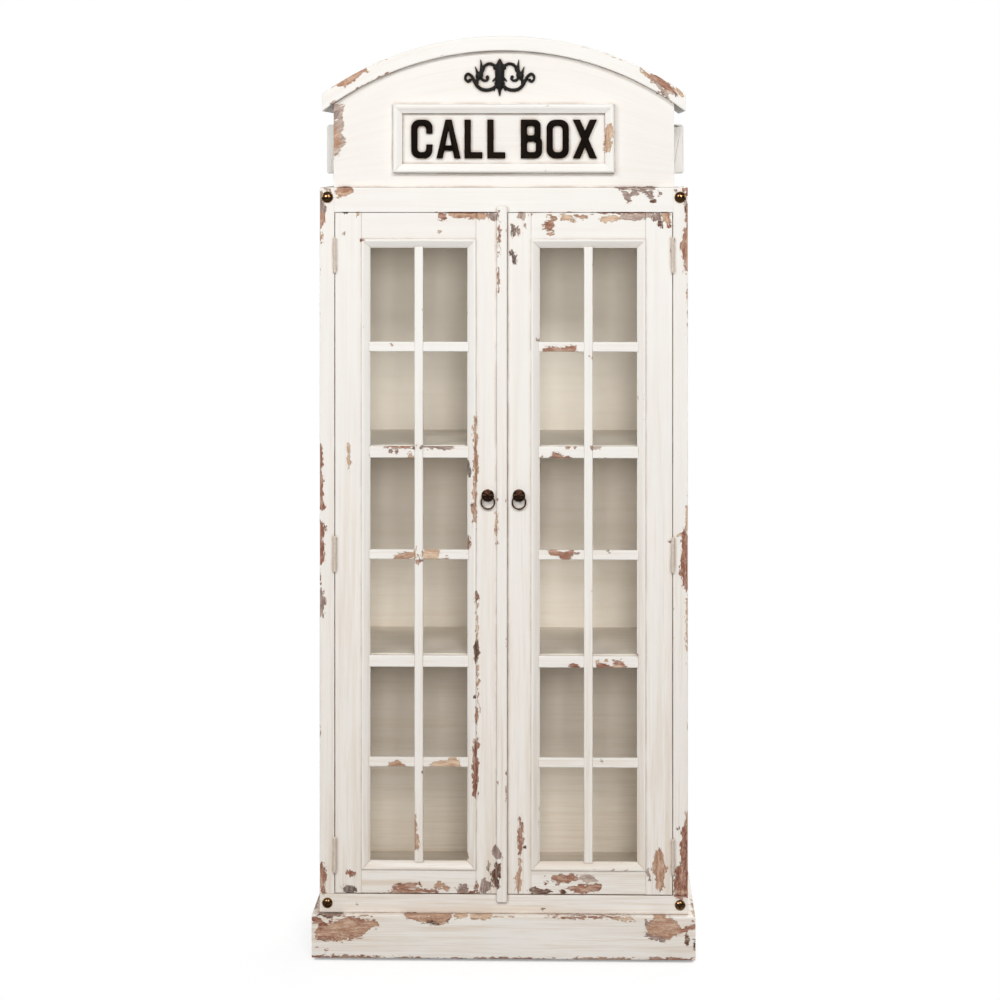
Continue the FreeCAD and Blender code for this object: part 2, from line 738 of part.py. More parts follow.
def scroll(points, start_width, end_width):
    """A curved band that tapers evenly along its centreline."""
    line = smooth_line(points)
    last = len(line) - 1
    left, right = [], []
    for i, (x, z) in enumerate(line):
        before, after = line[max(i - 1, 0)], line[min(i + 1, last)]
        step_x, step_z = after[0] - before[0], after[1] - before[1]
        length = math.hypot(step_x, step_z)
        half = (start_width + (end_width - start_width) * i / float(last)) / 2.0
        off_x, off_z = step_z / length * half, step_x / length * half
        left.append((x - off_x, z + off_z))
        right.append((x + off_x, z - off_z))
    return plate(left + right[::-1])


def disc(x, z, radius):
    angles = [2 * math.pi * k / DISC_STEPS for k in range(DISC_STEPS)]
    return plate([(x + radius * math.cos(a), z + radius * math.sin(a)) for a in angles])


mirrored_half = [(-x, z) for x, z in BODY_HALF_OUTLINE[1:-1]]
faces = [plate(BODY_HALF_OUTLINE + mirrored_half[::-1])]
for points, start_width, end_width in SCROLLS:
    for side, _ in SIDES:
        faces.append(scroll([(side * x, z) for x, z in points], start_width, end_width))
for x, z, radius in DISCS:
    for side, _ in SIDES:
        faces.append(disc(side * x, z, radius))
slabs = []
for face in faces:
    face.translate(Vector(ORNAMENT_X, pediment_front.value, 0))
    slabs.append(face.extrude(Vector(0, -ORNAMENT_THICK, 0)))
casting = slabs[0].fuse(slabs[1:]).removeSplitter()
coded("scroll_ornament", Part.makeCompound(casting.Solids))


# ---------------------------------------------------------------- corner studs
def turned(profile, cap_height):
    """Turned about Z: (radius, z) points up the side, closed by a domed cap on the last one."""
    points = [Vector(radius, 0, z) for radius, z in profile]
    edges = [Part.makeLine(a, b) for a, b in zip(points, points[1:])]
    rim = points[-1]
    top = Vector(0, 0, rim.z + cap_height)
    ball = (rim.x ** 2 + cap_height ** 2) / (2.0 * cap_height)
    half_angle = math.asin(rim.x / ball) / 2.0
    middle = Vector(ball * math.sin(half_angle), 0, top.z - ball + ball * math.cos(half_angle))
    edges.append(Part.Arc(rim, middle, top).toShape())
    edges.append(Part.makeLine(top, points[0]))
    return Part.Face(Part.Wire(edges)).revolve(Vector(0, 0, 0), Vector(*UP), 360)


def stud(radius, height, x, z):
    """A domed nail head with a straight shank."""
    solid = turned([(0, -STUD_SHANK_LENGTH), (STUD_SHANK_RADIUS, -STUD_SHANK_LENGTH),
                    (STUD_SHANK_RADIUS, 0), (radius, 0)], height)
    # a revolved face can come out inside out
    if solid.Volume < 0:
        solid.reverse()
    solid.Placement = FreeCAD.Placement(Vector(x, case_front.value, z), turn_to(FORWARD))
    return solid


# head radius, head height, z: the lower studs are a little smaller
STUDS = (
    (dim.stud_radius.value, 6.5, dim.stud_top_z.value),
    (dim.stud_radius.value - 1.0, 6.0, dim.stud_low_z.value),
)
coded("corner_studs", Part.makeCompound([
    stud(radius, height, side * dim.stud_x.value, z)
    for radius, height, z in STUDS for side, _ in SIDES
]))

# ---------------------------------------------------------------- hinges
KNUCKLES = 5
KNUCKLE_GAP = 0.4
BORE_OVERRUN = 5
PIN_CAP_INSET = 0.3  # pin caps are this much smaller in radius than the knuckles
PIN_CAP_TIP, PIN_CAP_HEIGHT = 1.4, 2.2

hinge_length = dim.hinge_length.value
knuckle_length = (hinge_length - (KNUCKLES - 1) * KNUCKLE_GAP) / KNUCKLES


def hinge_leaf(side, z_mid, on_post):
    """One leaf with its knuckles. The post leaf has three, the door leaf two."""
    axis_x, axis_y = side * dim.barrel_x.value, -dim.barrel_y.value
    front, thick = case_front.value, dim.leaf_thick.value
    z0 = z_mid - hinge_length / 2.0
    outer = post_inner.value if on_post else dim.door_edge.value + thick
    x0 = min(side * outer, side * (outer - thick))
    leaf = Part.makeBox(thick, dim.leaf_depth.value, hinge_length, Vector(x0, front, z0))
    for k in range(0 if on_post else 1, KNUCKLES, 2):
        z = z0 + k * (knuckle_length + KNUCKLE_GAP)
        web = Part.makeBox(thick, front - axis_y, knuckle_length, Vector(x0, axis_y, z))
        leaf = leaf.fuse(web)
        leaf = leaf.fuse(Part.makeCylinder(dim.barrel_radius.value, knuckle_length,
                                           Vector(axis_x, axis_y, z)))
    bore = dim.pin_radius if on_post else dim.bore_radius
    leaf = leaf.cut(Part.makeCylinder(bore.value, hinge_length + 2 * BORE_OVERRUN,
                                      Vector(axis_x, axis_y, z0 - BORE_OVERRUN)))
    return leaf.removeSplitter()


def drilled_leaves(side, on_post, screw_objs):
    """The solids of the three leaves on one side, cut by their screws."""
    tools = Part.makeCompound([obj.Shape for obj in screw_objs])
    solids = []
    for z in HINGES:
        solids.extend(hinge_leaf(side, z.value, on_post).cut(tools).Solids)
    return solids


def hinge_pin(side, z_mid):
    """A pin with a tapered cap at each end."""
    x, y = side * dim.barrel_x.value, -dim.barrel_y.value
    half = hinge_length / 2.0
    pin = Part.makeCylinder(dim.pin_radius.value, hinge_length, Vector(x, y, z_mid - half))
    for up in (1, -1):
        pin = pin.fuse(Part.makeCone(
            dim.barrel_radius.value - PIN_CAP_INSET, PIN_CAP_TIP, PIN_CAP_HEIGHT,
            Vector(x, y, z_mid + up * half), Vector(0, 0, up),
        ))
    return pin


doc.recompute()  # the screws need their shapes before they cut the leaves
leaf_solids, pin_solids = [], []
for side, _ in SIDES:
    leaf_solids.extend(drilled_leaves(side, True, post_screws[side]))
    for z in HINGES:
        pin_solids.extend(hinge_pin(side, z.value).Solids)
coded("hinge_post_leaves", Part.makeCompound(leaf_solids))
coded("hinge_pins", Part.makeCompound(pin_solids))
piece(group("hinge_post_screws", post_screws[-1] + post_screws[1]))

# ---------------------------------------------------------------- doors
TENON_SHOULDER = 8  # rail above and below each tenon
STRIKE_RADIUS, STRIKE_THICK = 6.0, 1.5

door_back = case_front + dim.door_thick
glass_back = door_back - dim.lip_thick
glass_front = glass_back - dim.glass_thick

bead_width = dim.bead_width.value
bead_high = dim.bead_front_y.value + glass_front.value
bead_low = dim.bead_inner_y.value + glass_front.value
# distance in from the edge of the opening, height forward of the glass
BEAD_PROFILE = [
    (0, 0), (0, bead_high - 1.8), (0.6, bead_high - 0.6), (1.8, bead_high), (4.5, bead_high),
    (bead_width - 2.5, bead_low + 1.4), (bead_width - 1.8, bead_low + 0.4),
    (bead_width, bead_low), (bead_width, 0),
]
# centre height, thickness
CROSS_BARS = (
    (dim.cross_a, dim.cross_thin), (dim.cross_b, dim.cross_thick), (dim.cross_c, dim.cross_thin),
    (dim.cross_d, dim.cross_thick), (dim.cross_e, dim.cross_thin),
)


def door_rail(name, x0, x1, z0, z1, lip_z0, lip_z1):
    """A rail with its rear lip. Returns its left and right tenons."""
    front = box(name + "_front", x0, x1, case_front, glass_back, z0, z1)
    rear = box(name + "_rear", x0 + dim.lip_width, x1 - dim.lip_width, glass_back, door_back,
               lip_z0, lip_z1)
    tenon_y = (case_front + glass_back) / 2 - dim.tenon_thick / 2
    tenons = [
        box(name + "_tenon", start, end, tenon_y, tenon_y + dim.tenon_thick,
            z0 + TENON_SHOULDER, z1 - TENON_SHOULDER)
        for start, end in ((x0 - dim.tenon_length, x0), (x1, x1 + dim.tenon_length))
    ]
    piece(fused(name, [front, rear] + tenons))
    return tenons


def door_stile(name, edge, inner, tools):
    """An upright with a rear lip that reaches into the opening."""
    lip_x = inner - dim.lip_width if edge.value > inner.value else inner + dim.lip_width
    blank = prism(
        name + "_blank", "XY_Plane",
        [(edge, case_front), (inner, case_front), (inner, glass_back), (lip_x, glass_back),
         (lip_x, door_back), (edge, door_back)],
        dim.door_top - dim.door_bottom, (0, 0, dim.door_bottom),
    )
    piece(cut(name, blank, tools))


def muntin_grid(name, x0, x1):
    """One upright bar crossed by five level bars."""
    middle = (x0 + x1) / 2
    bars = [box(name + "_upright", middle - dim.muntin_width / 2, middle + dim.muntin_width / 2,
                -dim.muntin_front_y, glass_front,
                dim.light_low + dim.bead_width, dim.light_high - dim.bead_width)]
    for z, thick in CROSS_BARS:
        bars.append(box(name + "_cross", x0 + dim.bead_width, x1 - dim.bead_width,
                        -dim.cross_front_y, glass_front, z - thick / 2, z + thick / 2))
    piece(fused(name, bars))


# ring pulls
SHANK_RADIUS = 2.5
SHANK_BEHIND = 5.0  # how far the shank stands out behind the door
# radius, distance forward of the door face
BOSS_PROFILE = [
    (0, -SHANK_BEHIND - dim.door_thick.value), (SHANK_RADIUS, -SHANK_BEHIND - dim.door_thick.value),
    (SHANK_RADIUS, 0), (9, 0), (9, 1.0), (8, 1.6), (6, 1.6), (6, 10.0), (12.4, 13.6), (13, 14.6),
]
BOSS_CAP_HEIGHT = 5.4
BOSS_SEAM_TURN = 137  # degrees, turns the seam of the revolved faces about the boss axis
EYE_HALF_LENGTH = 20  # the eye cutter runs past both sides of the boss
NUT_CIRCUMRADIUS, NUT_THICK = 5.6, 4.0
HOLE_OVERRUN, NUT_BORE_OVERRUN = 1, 2


def ring_pull(side, tag):
    """A domed boss on a shank through the stile, a ring in its eye, and a nut behind."""
    pull_x = side * dim.pull_from_middle
    boss = turned(BOSS_PROFILE, BOSS_CAP_HEIGHT)
    boss.Placement = FreeCAD.Placement(
        Vector(pull_x.value, case_front.value, dim.pull_height.value),
        turn_to(FORWARD) * FreeCAD.Rotation(Vector(*UP), BOSS_SEAM_TURN),
    )
    eye_start = Vector(pull_x.value - EYE_HALF_LENGTH, -dim.ring_pivot_y.value,
                       dim.ring_pivot_z.value)
    eye = Part.makeCylinder(dim.ring_hole.value, 2 * EYE_HALF_LENGTH, eye_start, Vector(1, 0, 0))
    coded("pull_boss_" + tag, boss.cut(eye))

    ring = doc.addObject("Part::Torus", "pull_ring_" + tag)
    set_sizes(ring, Radius1=dim.ring_major, Radius2=dim.ring_wire)
    place(ring, pull_x, -dim.ring_pivot_y, dim.ring_pivot_z - dim.ring_major, FORWARD)
    piece(ring)

    hexagon = doc.addObject("Part::Prism", "nut_blank_" + tag)
    hexagon.Polygon = 6
    set_sizes(hexagon, Circumradius=NUT_CIRCUMRADIUS, Height=NUT_THICK)
    place(hexagon, pull_x, door_back, dim.pull_height, BACKWARD)
    bore = cylinder("nut_bore_" + tag, SHANK_RADIUS, NUT_THICK + 2 * NUT_BORE_OVERRUN,
                    pull_x, door_back - NUT_BORE_OVERRUN, dim.pull_height, BACKWARD)
    piece(cut("pull_nut_" + tag, hexagon, [bore]))


def door(side, tag, closing_edge):
    prefix = "door_" + tag + "_"
    x0, x1 = side_span(side, dim.light_inner, dim.light_outer)
    door_screws = screws(side * (dim.door_edge + dim.leaf_thick), -side)
    shank_hole = cylinder("shank_hole", SHANK_RADIUS, dim.door_thick + 2 * HOLE_OVERRUN,
                          side * dim.pull_from_middle, case_front - HOLE_OVERRUN,
                          dim.pull_height, BACKWARD)
    strike = piece(cylinder("strike_plate_" + tag, STRIKE_RADIUS, STRIKE_THICK,
                            side * dim.magnet_x, door_back - STRIKE_THICK, dim.magnet_z,
                            BACKWARD))

    # the tenons belong to the rails and also cut the mortises in the stiles
    tenon_pairs = [
        door_rail(prefix + "top_rail", x0, x1, dim.light_high, dim.door_top,
                  dim.light_high - dim.lip_width, dim.door_top),
        door_rail(prefix + "bottom_rail", x0, x1, dim.door_bottom, dim.light_low,
                  dim.door_bottom, dim.light_low + dim.lip_width),
    ]
    hinge_end = 0 if side < 0 else 1
    door_stile(prefix + "hinge_stile", side * dim.door_edge, side * dim.light_outer,
               [pair[hinge_end] for pair in tenon_pairs] + door_screws)
    door_stile(prefix + "closing_stile", closing_edge, side * dim.light_inner,
               [pair[1 - hinge_end] for pair in tenon_pairs] + [shank_hole, strike])

    coded(prefix + "glazing_moulding", mitred_frame(
        x0.value, x1.value, dim.light_low.value, dim.light_high.value,
        BEAD_PROFILE, glass_front.value,
    ))
    piece(board(prefix + "glass", x0 + dim.glass_gap, x1 - dim.glass_gap,
                glass_front, glass_back,
                dim.light_low + dim.glass_gap, dim.light_high - dim.glass_gap))
    muntin_grid(prefix + "muntin_grid", x0, x1)

    doc.recompute()  # gives the screws their shapes
    coded("hinge_door_leaves_" + tag,
          Part.makeCompound(drilled_leaves(side, False, door_screws)))
    piece(group("hinge_door_screws_" + tag, door_screws))
    ring_pull(side, tag)


door(-1, "left", dim.left_closing)
door(1, "right", dim.right_closing)

# meeting bead on the front of the left door, over the gap between the doors
ASTRAGAL_ROUND = 4.0
piece(board("astragal", -dim.astragal_left, dim.left_closing,
            case_front - dim.astragal_thick, case_front,
            dim.astragal_low, dim.astragal_high, ("z", "y", 0.0, ASTRAGAL_ROUND)))

# ---------------------------------------------------------------- check and write
doc.recompute()
faults = []
for obj in doc.Objects:
    if "Invalid" in obj.State or "Error" in obj.State:
        faults.append("%s (%s): %s" % (obj.Label, obj.Name, obj.State))
for obj in pieces:
    shape = obj.Shape
    if shape.isNull() or not shape.isValid() or not shape.Solids or shape.Volume <= 0:
        faults.append("%s: bad shape" % obj.Label)
if faults:
    raise RuntimeError("; ".join(faults))
os.makedirs("parts", exist_ok=True)
for obj in pieces:
    obj.Shape.exportStep(os.path.join("parts", obj.Label + ".step"))
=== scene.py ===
import json
import math
import bmesh
import bpy
import numpy as np
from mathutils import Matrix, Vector


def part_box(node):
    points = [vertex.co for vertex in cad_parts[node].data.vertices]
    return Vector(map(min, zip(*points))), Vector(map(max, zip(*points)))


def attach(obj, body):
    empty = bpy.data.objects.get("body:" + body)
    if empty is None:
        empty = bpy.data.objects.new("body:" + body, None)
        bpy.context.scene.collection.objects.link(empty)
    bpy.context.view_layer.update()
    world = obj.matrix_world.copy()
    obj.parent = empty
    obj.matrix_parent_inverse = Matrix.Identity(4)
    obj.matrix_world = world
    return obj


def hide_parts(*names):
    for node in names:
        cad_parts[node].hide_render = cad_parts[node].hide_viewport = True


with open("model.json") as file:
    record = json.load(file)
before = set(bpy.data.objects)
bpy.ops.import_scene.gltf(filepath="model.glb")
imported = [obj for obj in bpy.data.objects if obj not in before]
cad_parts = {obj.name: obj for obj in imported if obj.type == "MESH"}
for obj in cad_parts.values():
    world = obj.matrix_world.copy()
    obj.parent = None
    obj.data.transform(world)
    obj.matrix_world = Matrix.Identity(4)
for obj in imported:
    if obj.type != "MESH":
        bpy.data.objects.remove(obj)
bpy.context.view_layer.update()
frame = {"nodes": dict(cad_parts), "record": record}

# ------------------------------------------------------------------ basics
# Geometry is worked out in millimetres and written in metres.
X, Y, Z = np.array([1.0, 0, 0]), np.array([0, 1.0, 0]), np.array([0, 0, 1.0])


def nbox(node):
    lo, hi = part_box(node)
    return np.array(lo) * 1000.0, np.array(hi) * 1000.0


def lin(rgb):
    out = []
    for c in rgb:
        c = c / 255.0
        out.append(c / 12.92 if c <= 0.04045 else ((c + 0.055) / 1.055) ** 2.4)
    return tuple(out)


def _hash(ix, iy, iz, seed):
    with np.errstate(over="ignore"):
        h = (ix.astype(np.uint32) * np.uint32(374761393) + iy.astype(np.uint32) * np.uint32(668265263)
             + iz.astype(np.uint32) * np.uint32(2246822519) + np.uint32((seed * 3266489917) & 0xFFFFFFFF))
        h = (h ^ (h >> np.uint32(13))) * np.uint32(1274126177)
        h = h ^ (h >> np.uint32(16))
    return h.astype(np.float64) / 4294967295.0


def vnoise(p, scale, seed=0):
    q = p / np.asarray(scale, float)
    i = np.floor(q).astype(np.int64)
    f = q - i
    u = f * f * (3 - 2 * f)
    out = np.zeros(len(p))
    for dx in (0, 1):
        for dy in (0, 1):
            for dz in (0, 1):
                w = ((u[:, 0] if dx else 1 - u[:, 0]) * (u[:, 1] if dy else 1 - u[:, 1])
                     * (u[:, 2] if dz else 1 - u[:, 2]))
                out += w * _hash(i[:, 0] + dx, i[:, 1] + dy, i[:, 2] + dz, seed)
    return out


def fbm(p, scale, seed=0, octaves=3):
    total, amp, norm = np.zeros(len(p)), 1.0, 0.0
    s = np.asarray(scale, float)
    for k in range(octaves):
        total += amp * vnoise(p, s, seed + 17 * k)
        norm += amp
        amp *= 0.55
        s = s * 0.5
    return total / norm


# ------------------------------------------------------------------ where the paint has worn through
BR, RB, DK = (166, 121, 100), (150, 99, 79), (104, 72, 59)
TB, TN = (187, 149, 124), (212, 183, 156)
GM, GL, DG = (150, 131, 125), (188, 170, 161), (108, 97, 94)
# Rough ovals on the front of the object, in millimetres: middle x and z, half length, half width, slant in degrees, how bare
# it is and what shows through. Their ragged outlines come from noise.
PATCHES = [
    (-330, 7, 70, 3, 0, 0.8, BR), (-180, 6, 46, 2, 0, 0.6, TB), (20, 6, 80, 2, 0, 0.55, BR), (200, 6, 60, 3, 0, 0.7, TB), (340, 7, 44, 3, 0, 0.8, BR),
    (-378, 1553, 24, 11, -80, 1, GM), (-379, 1521, 19, 9, 80, 1, BR), (-381, 1487, 10, 3, -75, 0.8, RB),
    (-375, 1489, 9, 3, -75, 0.4, TN), (-357, 1573, 12, 3, 90, 0.8, GM), (-367, 1586, 8, 3, -5, 0.5, GL),
    (-329, 1580, 19, 9, 5, 0.9, TB), (-325, 1583, 12, 6, 5, 0.9, BR), (-340, 1568, 3, 2, 5, 0.5, TN),
    (-299, 1535, 6, 2, -90, 0.7, TN), (275, 1587, 42, 3, 0, 0.7, GM), (267, 1577, 10, 6, 20, 0.95, GM),
    (303, 1574, 11, 7, -75, 0.95, GM), (254, 1570, 14, 6, -70, 0.95, GM), (286, 1581, 11, 4, -10, 0.95, GM),
    (307, 1559, 5, 3, 45, 1, DK), (375, 1585, 9, 5, 20, 1, RB), (379, 1577, 6, 5, 0, 1, RB), (373, 1556, 15, 3, -85, 0.9, DK),
    (381, 1523, 25, 5, 90, 1, BR), (376, 1461, 46, 11, 90, 1, BR), (379, 1462, 29, 8, -90, 1, TB),
    (382, 1359, 76, 4, -90, 0.6, TN), (270, 1531, 34, 8, 0, 0.8, GL), (252, 1537, 59, 2, 0, 0.8, BR),
    (220, 1525, 21, 6, 0, 0.9, TN), (313, 1528, 11, 9, 0, 1, GM), (333, 1528, 11, 7, -45, 1, TB),
    (323, 1513, 7, 5, -70, 0.9, DK), (339, 1508, 4, 3, -80, 0.9, RB), (-125, 1528, 9, 6, 10, 0.9, RB),
    (-72, 1532, 42, 8, -5, 0.95, TB), (-77, 1536, 44, 3, 0, 0.9, BR), (-19, 1530, 10, 9, 0, 1, GM),
    (36, 1530, 10, 6, -50, 0.8, GL), (20, 1498, 13, 4, -90, 0.95, DG), (29, 1497, 7, 5, -85, 0.8, GM),
    (21, 1445, 13, 4, -75, 0.95, DG), (43, 1508, 4, 3, -80, 0.6, GL), (-9, 1487, 25, 2, -90, 0.9, RB),
    (-10, 1397, 23, 2, -90, 0.7, RB), (97, 1511, 10, 9, 0, 1, BR), (84, 1509, 5, 3, -60, 0.7, TB),
    (105, 1523, 4, 2, -5, 0.8, TB), (94, 1531, 5, 2, -5, 0.8, TB), (100, 1526, 5, 2, -65, 0.8, TB),
    (98, 1495, 7, 3, 0, 0.7, TB), (128, 1526, 12, 5, 0, 0.9, TN), (160, 1528, 14, 3, -5, 0.8, TB),
    (144, 1520, 8, 2, -5, 0.5, TN), (-315, 176, 8, 5, -25, 0.95, RB), (-315, 144, 14, 9, 5, 1, DG),
    (-204, 149, 26, 6, 5, 0.95, BR), (-187, 139, 47, 4, 0, 0.95, BR), (-173, 153, 4, 2, -80, 0.8, RB),
    (-134, 151, 9, 6, 25, 0.9, TB), (-120, 148, 10, 4, -45, 0.9, TB), (-96, 144, 3, 3, 0, 0.8, RB),
    (-83, 145, 10, 9, 0, 0.9, GM), (-79, 137, 11, 1, 5, 0.95, RB), (-63, 138, 8, 2, 5, 0.95, RB), (-38, 148, 14, 9, 75, 1, GM),
    (-55, 151, 7, 3, 90, 0.7, BR), (-32, 192, 10, 3, 85, 0.7, GM), (-14, 221, 14, 7, -85, 0.95, GM),
    (-15, 174, 26, 8, 85, 0.95, DK), (-323, 65, 65, 20, 10, 1, TB), (-298, 80, 20, 7, -10, 0.95, BR),
    (-364, 48, 22, 6, -5, 0.9, BR), (-323, 49, 25, 4, 5, 0.9, BR), (-376, 73, 9, 4, -90, 0.9, RB),
    (-385, 82, 10, 5, 10, 0.9, RB), (-367, 75, 8, 3, -20, 0.9, RB), (-356, 93, 23, 3, 0, 0.9, DK), (-349, 82, 6, 3, 0, 0.8, RB),
    (-132, 86, 27, 12, 10, 0.95, TB), (-174, 90, 30, 7, -10, 0.95, TB), (-121, 83, 15, 3, 20, 0.7, DK),
    (-144, 79, 15, 5, -5, 0.7, DK), (-88, 92, 14, 5, 0, 0.8, TN), (-38, 92, 11, 6, 5, 0.85, TN), (-58, 92, 10, 5, 5, 0.85, TN),
    (35, 255, 36, 5, -90, 0.95, BR), (32, 156, 19, 5, -90, 0.9, TB), (33, 190, 18, 4, 90, 0.9, TB),
    (129, 167, 27, 8, 5, 0.95, BR), (175, 168, 18, 7, -5, 0.9, GL), (168, 147, 32, 8, 5, 0.95, BR),
    (77, 141, 24, 5, 0, 0.95, DK), (124, 140, 8, 3, 0, 0.8, DK), (88, 159, 4, 2, 35, 0.7, RB), (112, 155, 4, 2, 0, 0.7, RB),
    (320, 188, 37, 11, 90, 1, TB), (298, 181, 7, 3, -90, 0.8, GL), (375, 825, 64, 10, 90, 1, RB),
    (379, 907, 23, 5, 90, 0.7, TN), (380, 692, 82, 4, -90, 0.5, TN), (363, 875, 5, 3, 0, 0.5, TN),
    (374, 231, 42, 10, 90, 1, RB), (368, 163, 35, 18, 85, 1, RB), (365, 142, 19, 4, -5, 0.9, TB),
    (379, 285, 24, 5, -90, 0.7, TB), (327, 71, 34, 23, 0, 1, TB), (313, 52, 22, 4, -15, 0.9, GM), (294, 83, 8, 4, -80, 0.8, GM),
    (378, 70, 19, 5, 20, 0.9, BR), (376, 48, 10, 4, -85, 0.9, DK), (393, 37, 10, 4, -85, 0.8, DK),
    (167, 92, 66, 2, 0, 0.62, BR), (246, 90, 22, 4, 0, 0.5, TN), (-380, 1029, 32, 6, -90, 0.9, RB),
    (-378, 972, 25, 8, -85, 0.95, RB), (-378, 935, 13, 8, -85, 0.95, RB), (-378, 883, 20, 8, 90, 1, RB),
    (-377, 838, 26, 9, 90, 1, RB), (-380, 785, 17, 5, -90, 0.7, RB), (-377, 733, 31, 9, -85, 0.95, GM),
    (-374, 164, 32, 9, -90, 0.8, BR), (-60, 938, 41, 3, -90, 0.95, TB), (-58, 1072, 36, 3, -90, 0.95, TB),
    (-57, 1011, 34, 4, 90, 0.95, TB), (-73, 1010, 16, 4, -90, 0.9, DG), (-73, 856, 14, 3, -90, 0.9, RB),
    (-55, 747, 11, 3, 90, 0.9, RB), (-54, 697, 45, 2, -90, 0.4, TN), (-55, 632, 22, 4, 90, 1, DK),
    (-53, 571, 47, 2, 90, 0.45, TB), (-55, 501, 16, 3, 90, 0.85, BR), (-54, 445, 14, 2, 90, 0.7, BR),
    (-58, 388, 55, 5, 90, 1, RB), (-319, 1034, 25, 3, 90, 0.7, TN), (-75, 212, 6, 2, -80, 0.8, TB),
    (-204, 826, 23, 8, 10, 0.95, TB), (-183, 832, 10, 2, -90, 0.8, TN), (-176, 817, 5, 4, 50, 0.8, BR),
    (-151, 830, 17, 12, 0, 1, TN), (-124, 821, 11, 3, 0, 0.6, BR), (-217, 1056, 33, 4, 0, 0.95, BR),
    (-194, 1034, 7, 3, 65, 0.9, TN), (-189, 1030, 4, 3, 10, 0.9, TN), (-136, 1055, 33, 5, 0, 0.9, GM),
    (131, 1253, 18, 8, 10, 0.95, BR), (99, 1252, 19, 7, -5, 0.95, BR), (113, 1033, 11, 7, -50, 0.95, BR),
    (131, 1030, 11, 5, 0, 0.95, BR), (99, 1029, 6, 4, 5, 0.8, GM), (190, 1054, 11, 5, 0, 0.7, GL),
    (131, 833, 16, 8, 15, 0.95, BR), (106, 835, 15, 6, -5, 0.95, BR), (145, 605, 9, 7, -10, 0.95, RB),
    (210, 601, 15, 6, -5, 0.95, RB), (238, 605, 17, 11, -20, 0.95, RB), (236, 604, 14, 5, 0, 0.9, TN),
    (-220, 398, 16, 7, -5, 0.9, TB), (-120, 399, 31, 10, 5, 0.95, TN), (-182, 276, 20, 3, -90, 0.9, TB),
    (-181, 241, 17, 6, -90, 0.9, TB), (-15, 896, 20, 2, 90, 0.7, TN), (-313, 1815, 34, 8, 30, 1, TB),
    (-353, 1798, 17, 4, 25, 0.6, TN), (325, 1802, 30, 8, -35, 1, BR), (323, 1791, 12, 4, -45, 0.8, GL),
    (337, 1783, 10, 6, -10, 0.8, GL), (359, 1784, 13, 5, -40, 0.8, TN), (290, 1823, 11, 5, -30, 0.5, TN),
    (-346, 1745, 18, 10, -90, 0.9, GL), (-348, 1740, 11, 8, -90, 0.6, GM), (-335, 1755, 6, 4, 60, 0.5, GL),
    (-345, 1689, 40, 12, 85, 0.85, GL), (-347, 1689, 28, 9, -90, 0.6, TB), (216, 1689, 31, 9, 90, 0.85, TN),
    (-376, 1474, 3, 2, 0, 0.9, RB), (-325, 1537, 4, 3, 0, 0.9, DG), (-292, 1481, 3, 2, 0, 0.9, RB),
    (-380, 1586, 2, 2, 0, 0.9, RB), (322, 1575, 2, 2, 0, 0.9, GM), (354, 1582, 2, 2, 0, 0.9, GM), (347, 1482, 2, 2, 0, 0.9, DK),
    (345, 1460, 3, 2, 0, 0.9, DG), (0, 1538, 3, 2, 0, 0.9, DK), (-8, 1539, 2, 2, 0, 0.9, RB), (55, 1532, 2, 2, 0, 0.9, GL),
    (44, 232, 3, 2, 0, 0.9, DK), (301, 165, 2, 2, 0, 0.9, GM), (322, 147, 2, 2, 0, 0.9, TB), (81, 103, 2, 2, 0, 0.9, GM),
    (343, 861, 3, 2, 0, 0.9, DG), (360, 271, 2, 2, 0, 0.9, DG), (-64, 934, 2, 2, 0, 0.9, DG), (-15, 883, 3, 2, 0, 0.9, RB),
    (-15, 857, 2, 2, 0, 0.9, TB), (-59, 540, 2, 2, 0, 0.9, DG), (-169, 821, 3, 2, 0, 0.9, DK), (-175, 828, 2, 2, 0, 0.9, TN),
    (-117, 825, 2, 2, 0, 0.9, BR), (-233, 1044, 4, 3, 0, 0.9, GM), (-220, 1043, 3, 3, 0, 0.9, GM),
    (-184, 1052, 3, 2, 0, 0.9, DG), (132, 1055, 4, 3, 0, 0.9, TB), (147, 1055, 3, 2, 0, 0.9, RB), (110, 1041, 2, 2, 0, 0.9, DK),
    (136, 1032, 3, 2, 0, 0.9, DK), (78, 1033, 2, 2, 0, 0.9, GL), (179, 1238, 3, 2, 0, 0.9, TB), (150, 835, 3, 2, 0, 0.9, GM),
    (194, 611, 2, 2, 0, 0.9, TN), (212, 615, 3, 2, 0, 0.9, TN), (-168, 383, 2, 2, 0, 0.9, DG), (330, 1781, 3, 2, 0, 0.9, GM),
    (337, 1773, 3, 2, 0, 0.9, GL), (318, 1784, 2, 2, 0, 0.9, GL), (355, 1779, 2, 2, 0, 0.9, GM), (305, 1804, 2, 2, 0, 0.9, GL),
    (-368, 41, 3, 2, 0, 0.9, DK), (-384, 28, 2, 2, 0, 0.9, TB), (-364, 21, 2, 2, 0, 0.9, TB), (71, 1274, 2, 2, 0, 0.9, GM),
    (216, 838, 2, 2, 0, 0.9, DG), (274, 627, 2, 2, 0, 0.9, BR), (-302, 110, 2, 2, 0, 0.9, TN), (-278, 126, 2, 2, 0, 0.9, TN),
    (389, 86, 2, 2, 0, 0.9, BR), (85, 173, 2, 2, 0, 0.9, GL), (-131, 1496, 2, 2, 0, 0.9, GL), (-329, 1493, 2, 2, 0, 0.9, GL),
    (93, 1498, 2, 2, 0, 0.9, TB), (-100, 1531, 2, 2, 0, 0.9, BR), (-230, 1262, 2, 2, 0, 0.9, GL), (203, 409, 2, 2, 0, 0.9, GL),
]
SLOPE = 0.048


EDGES = np.array([94.6, 134.5, 1538.0, 1591.0])


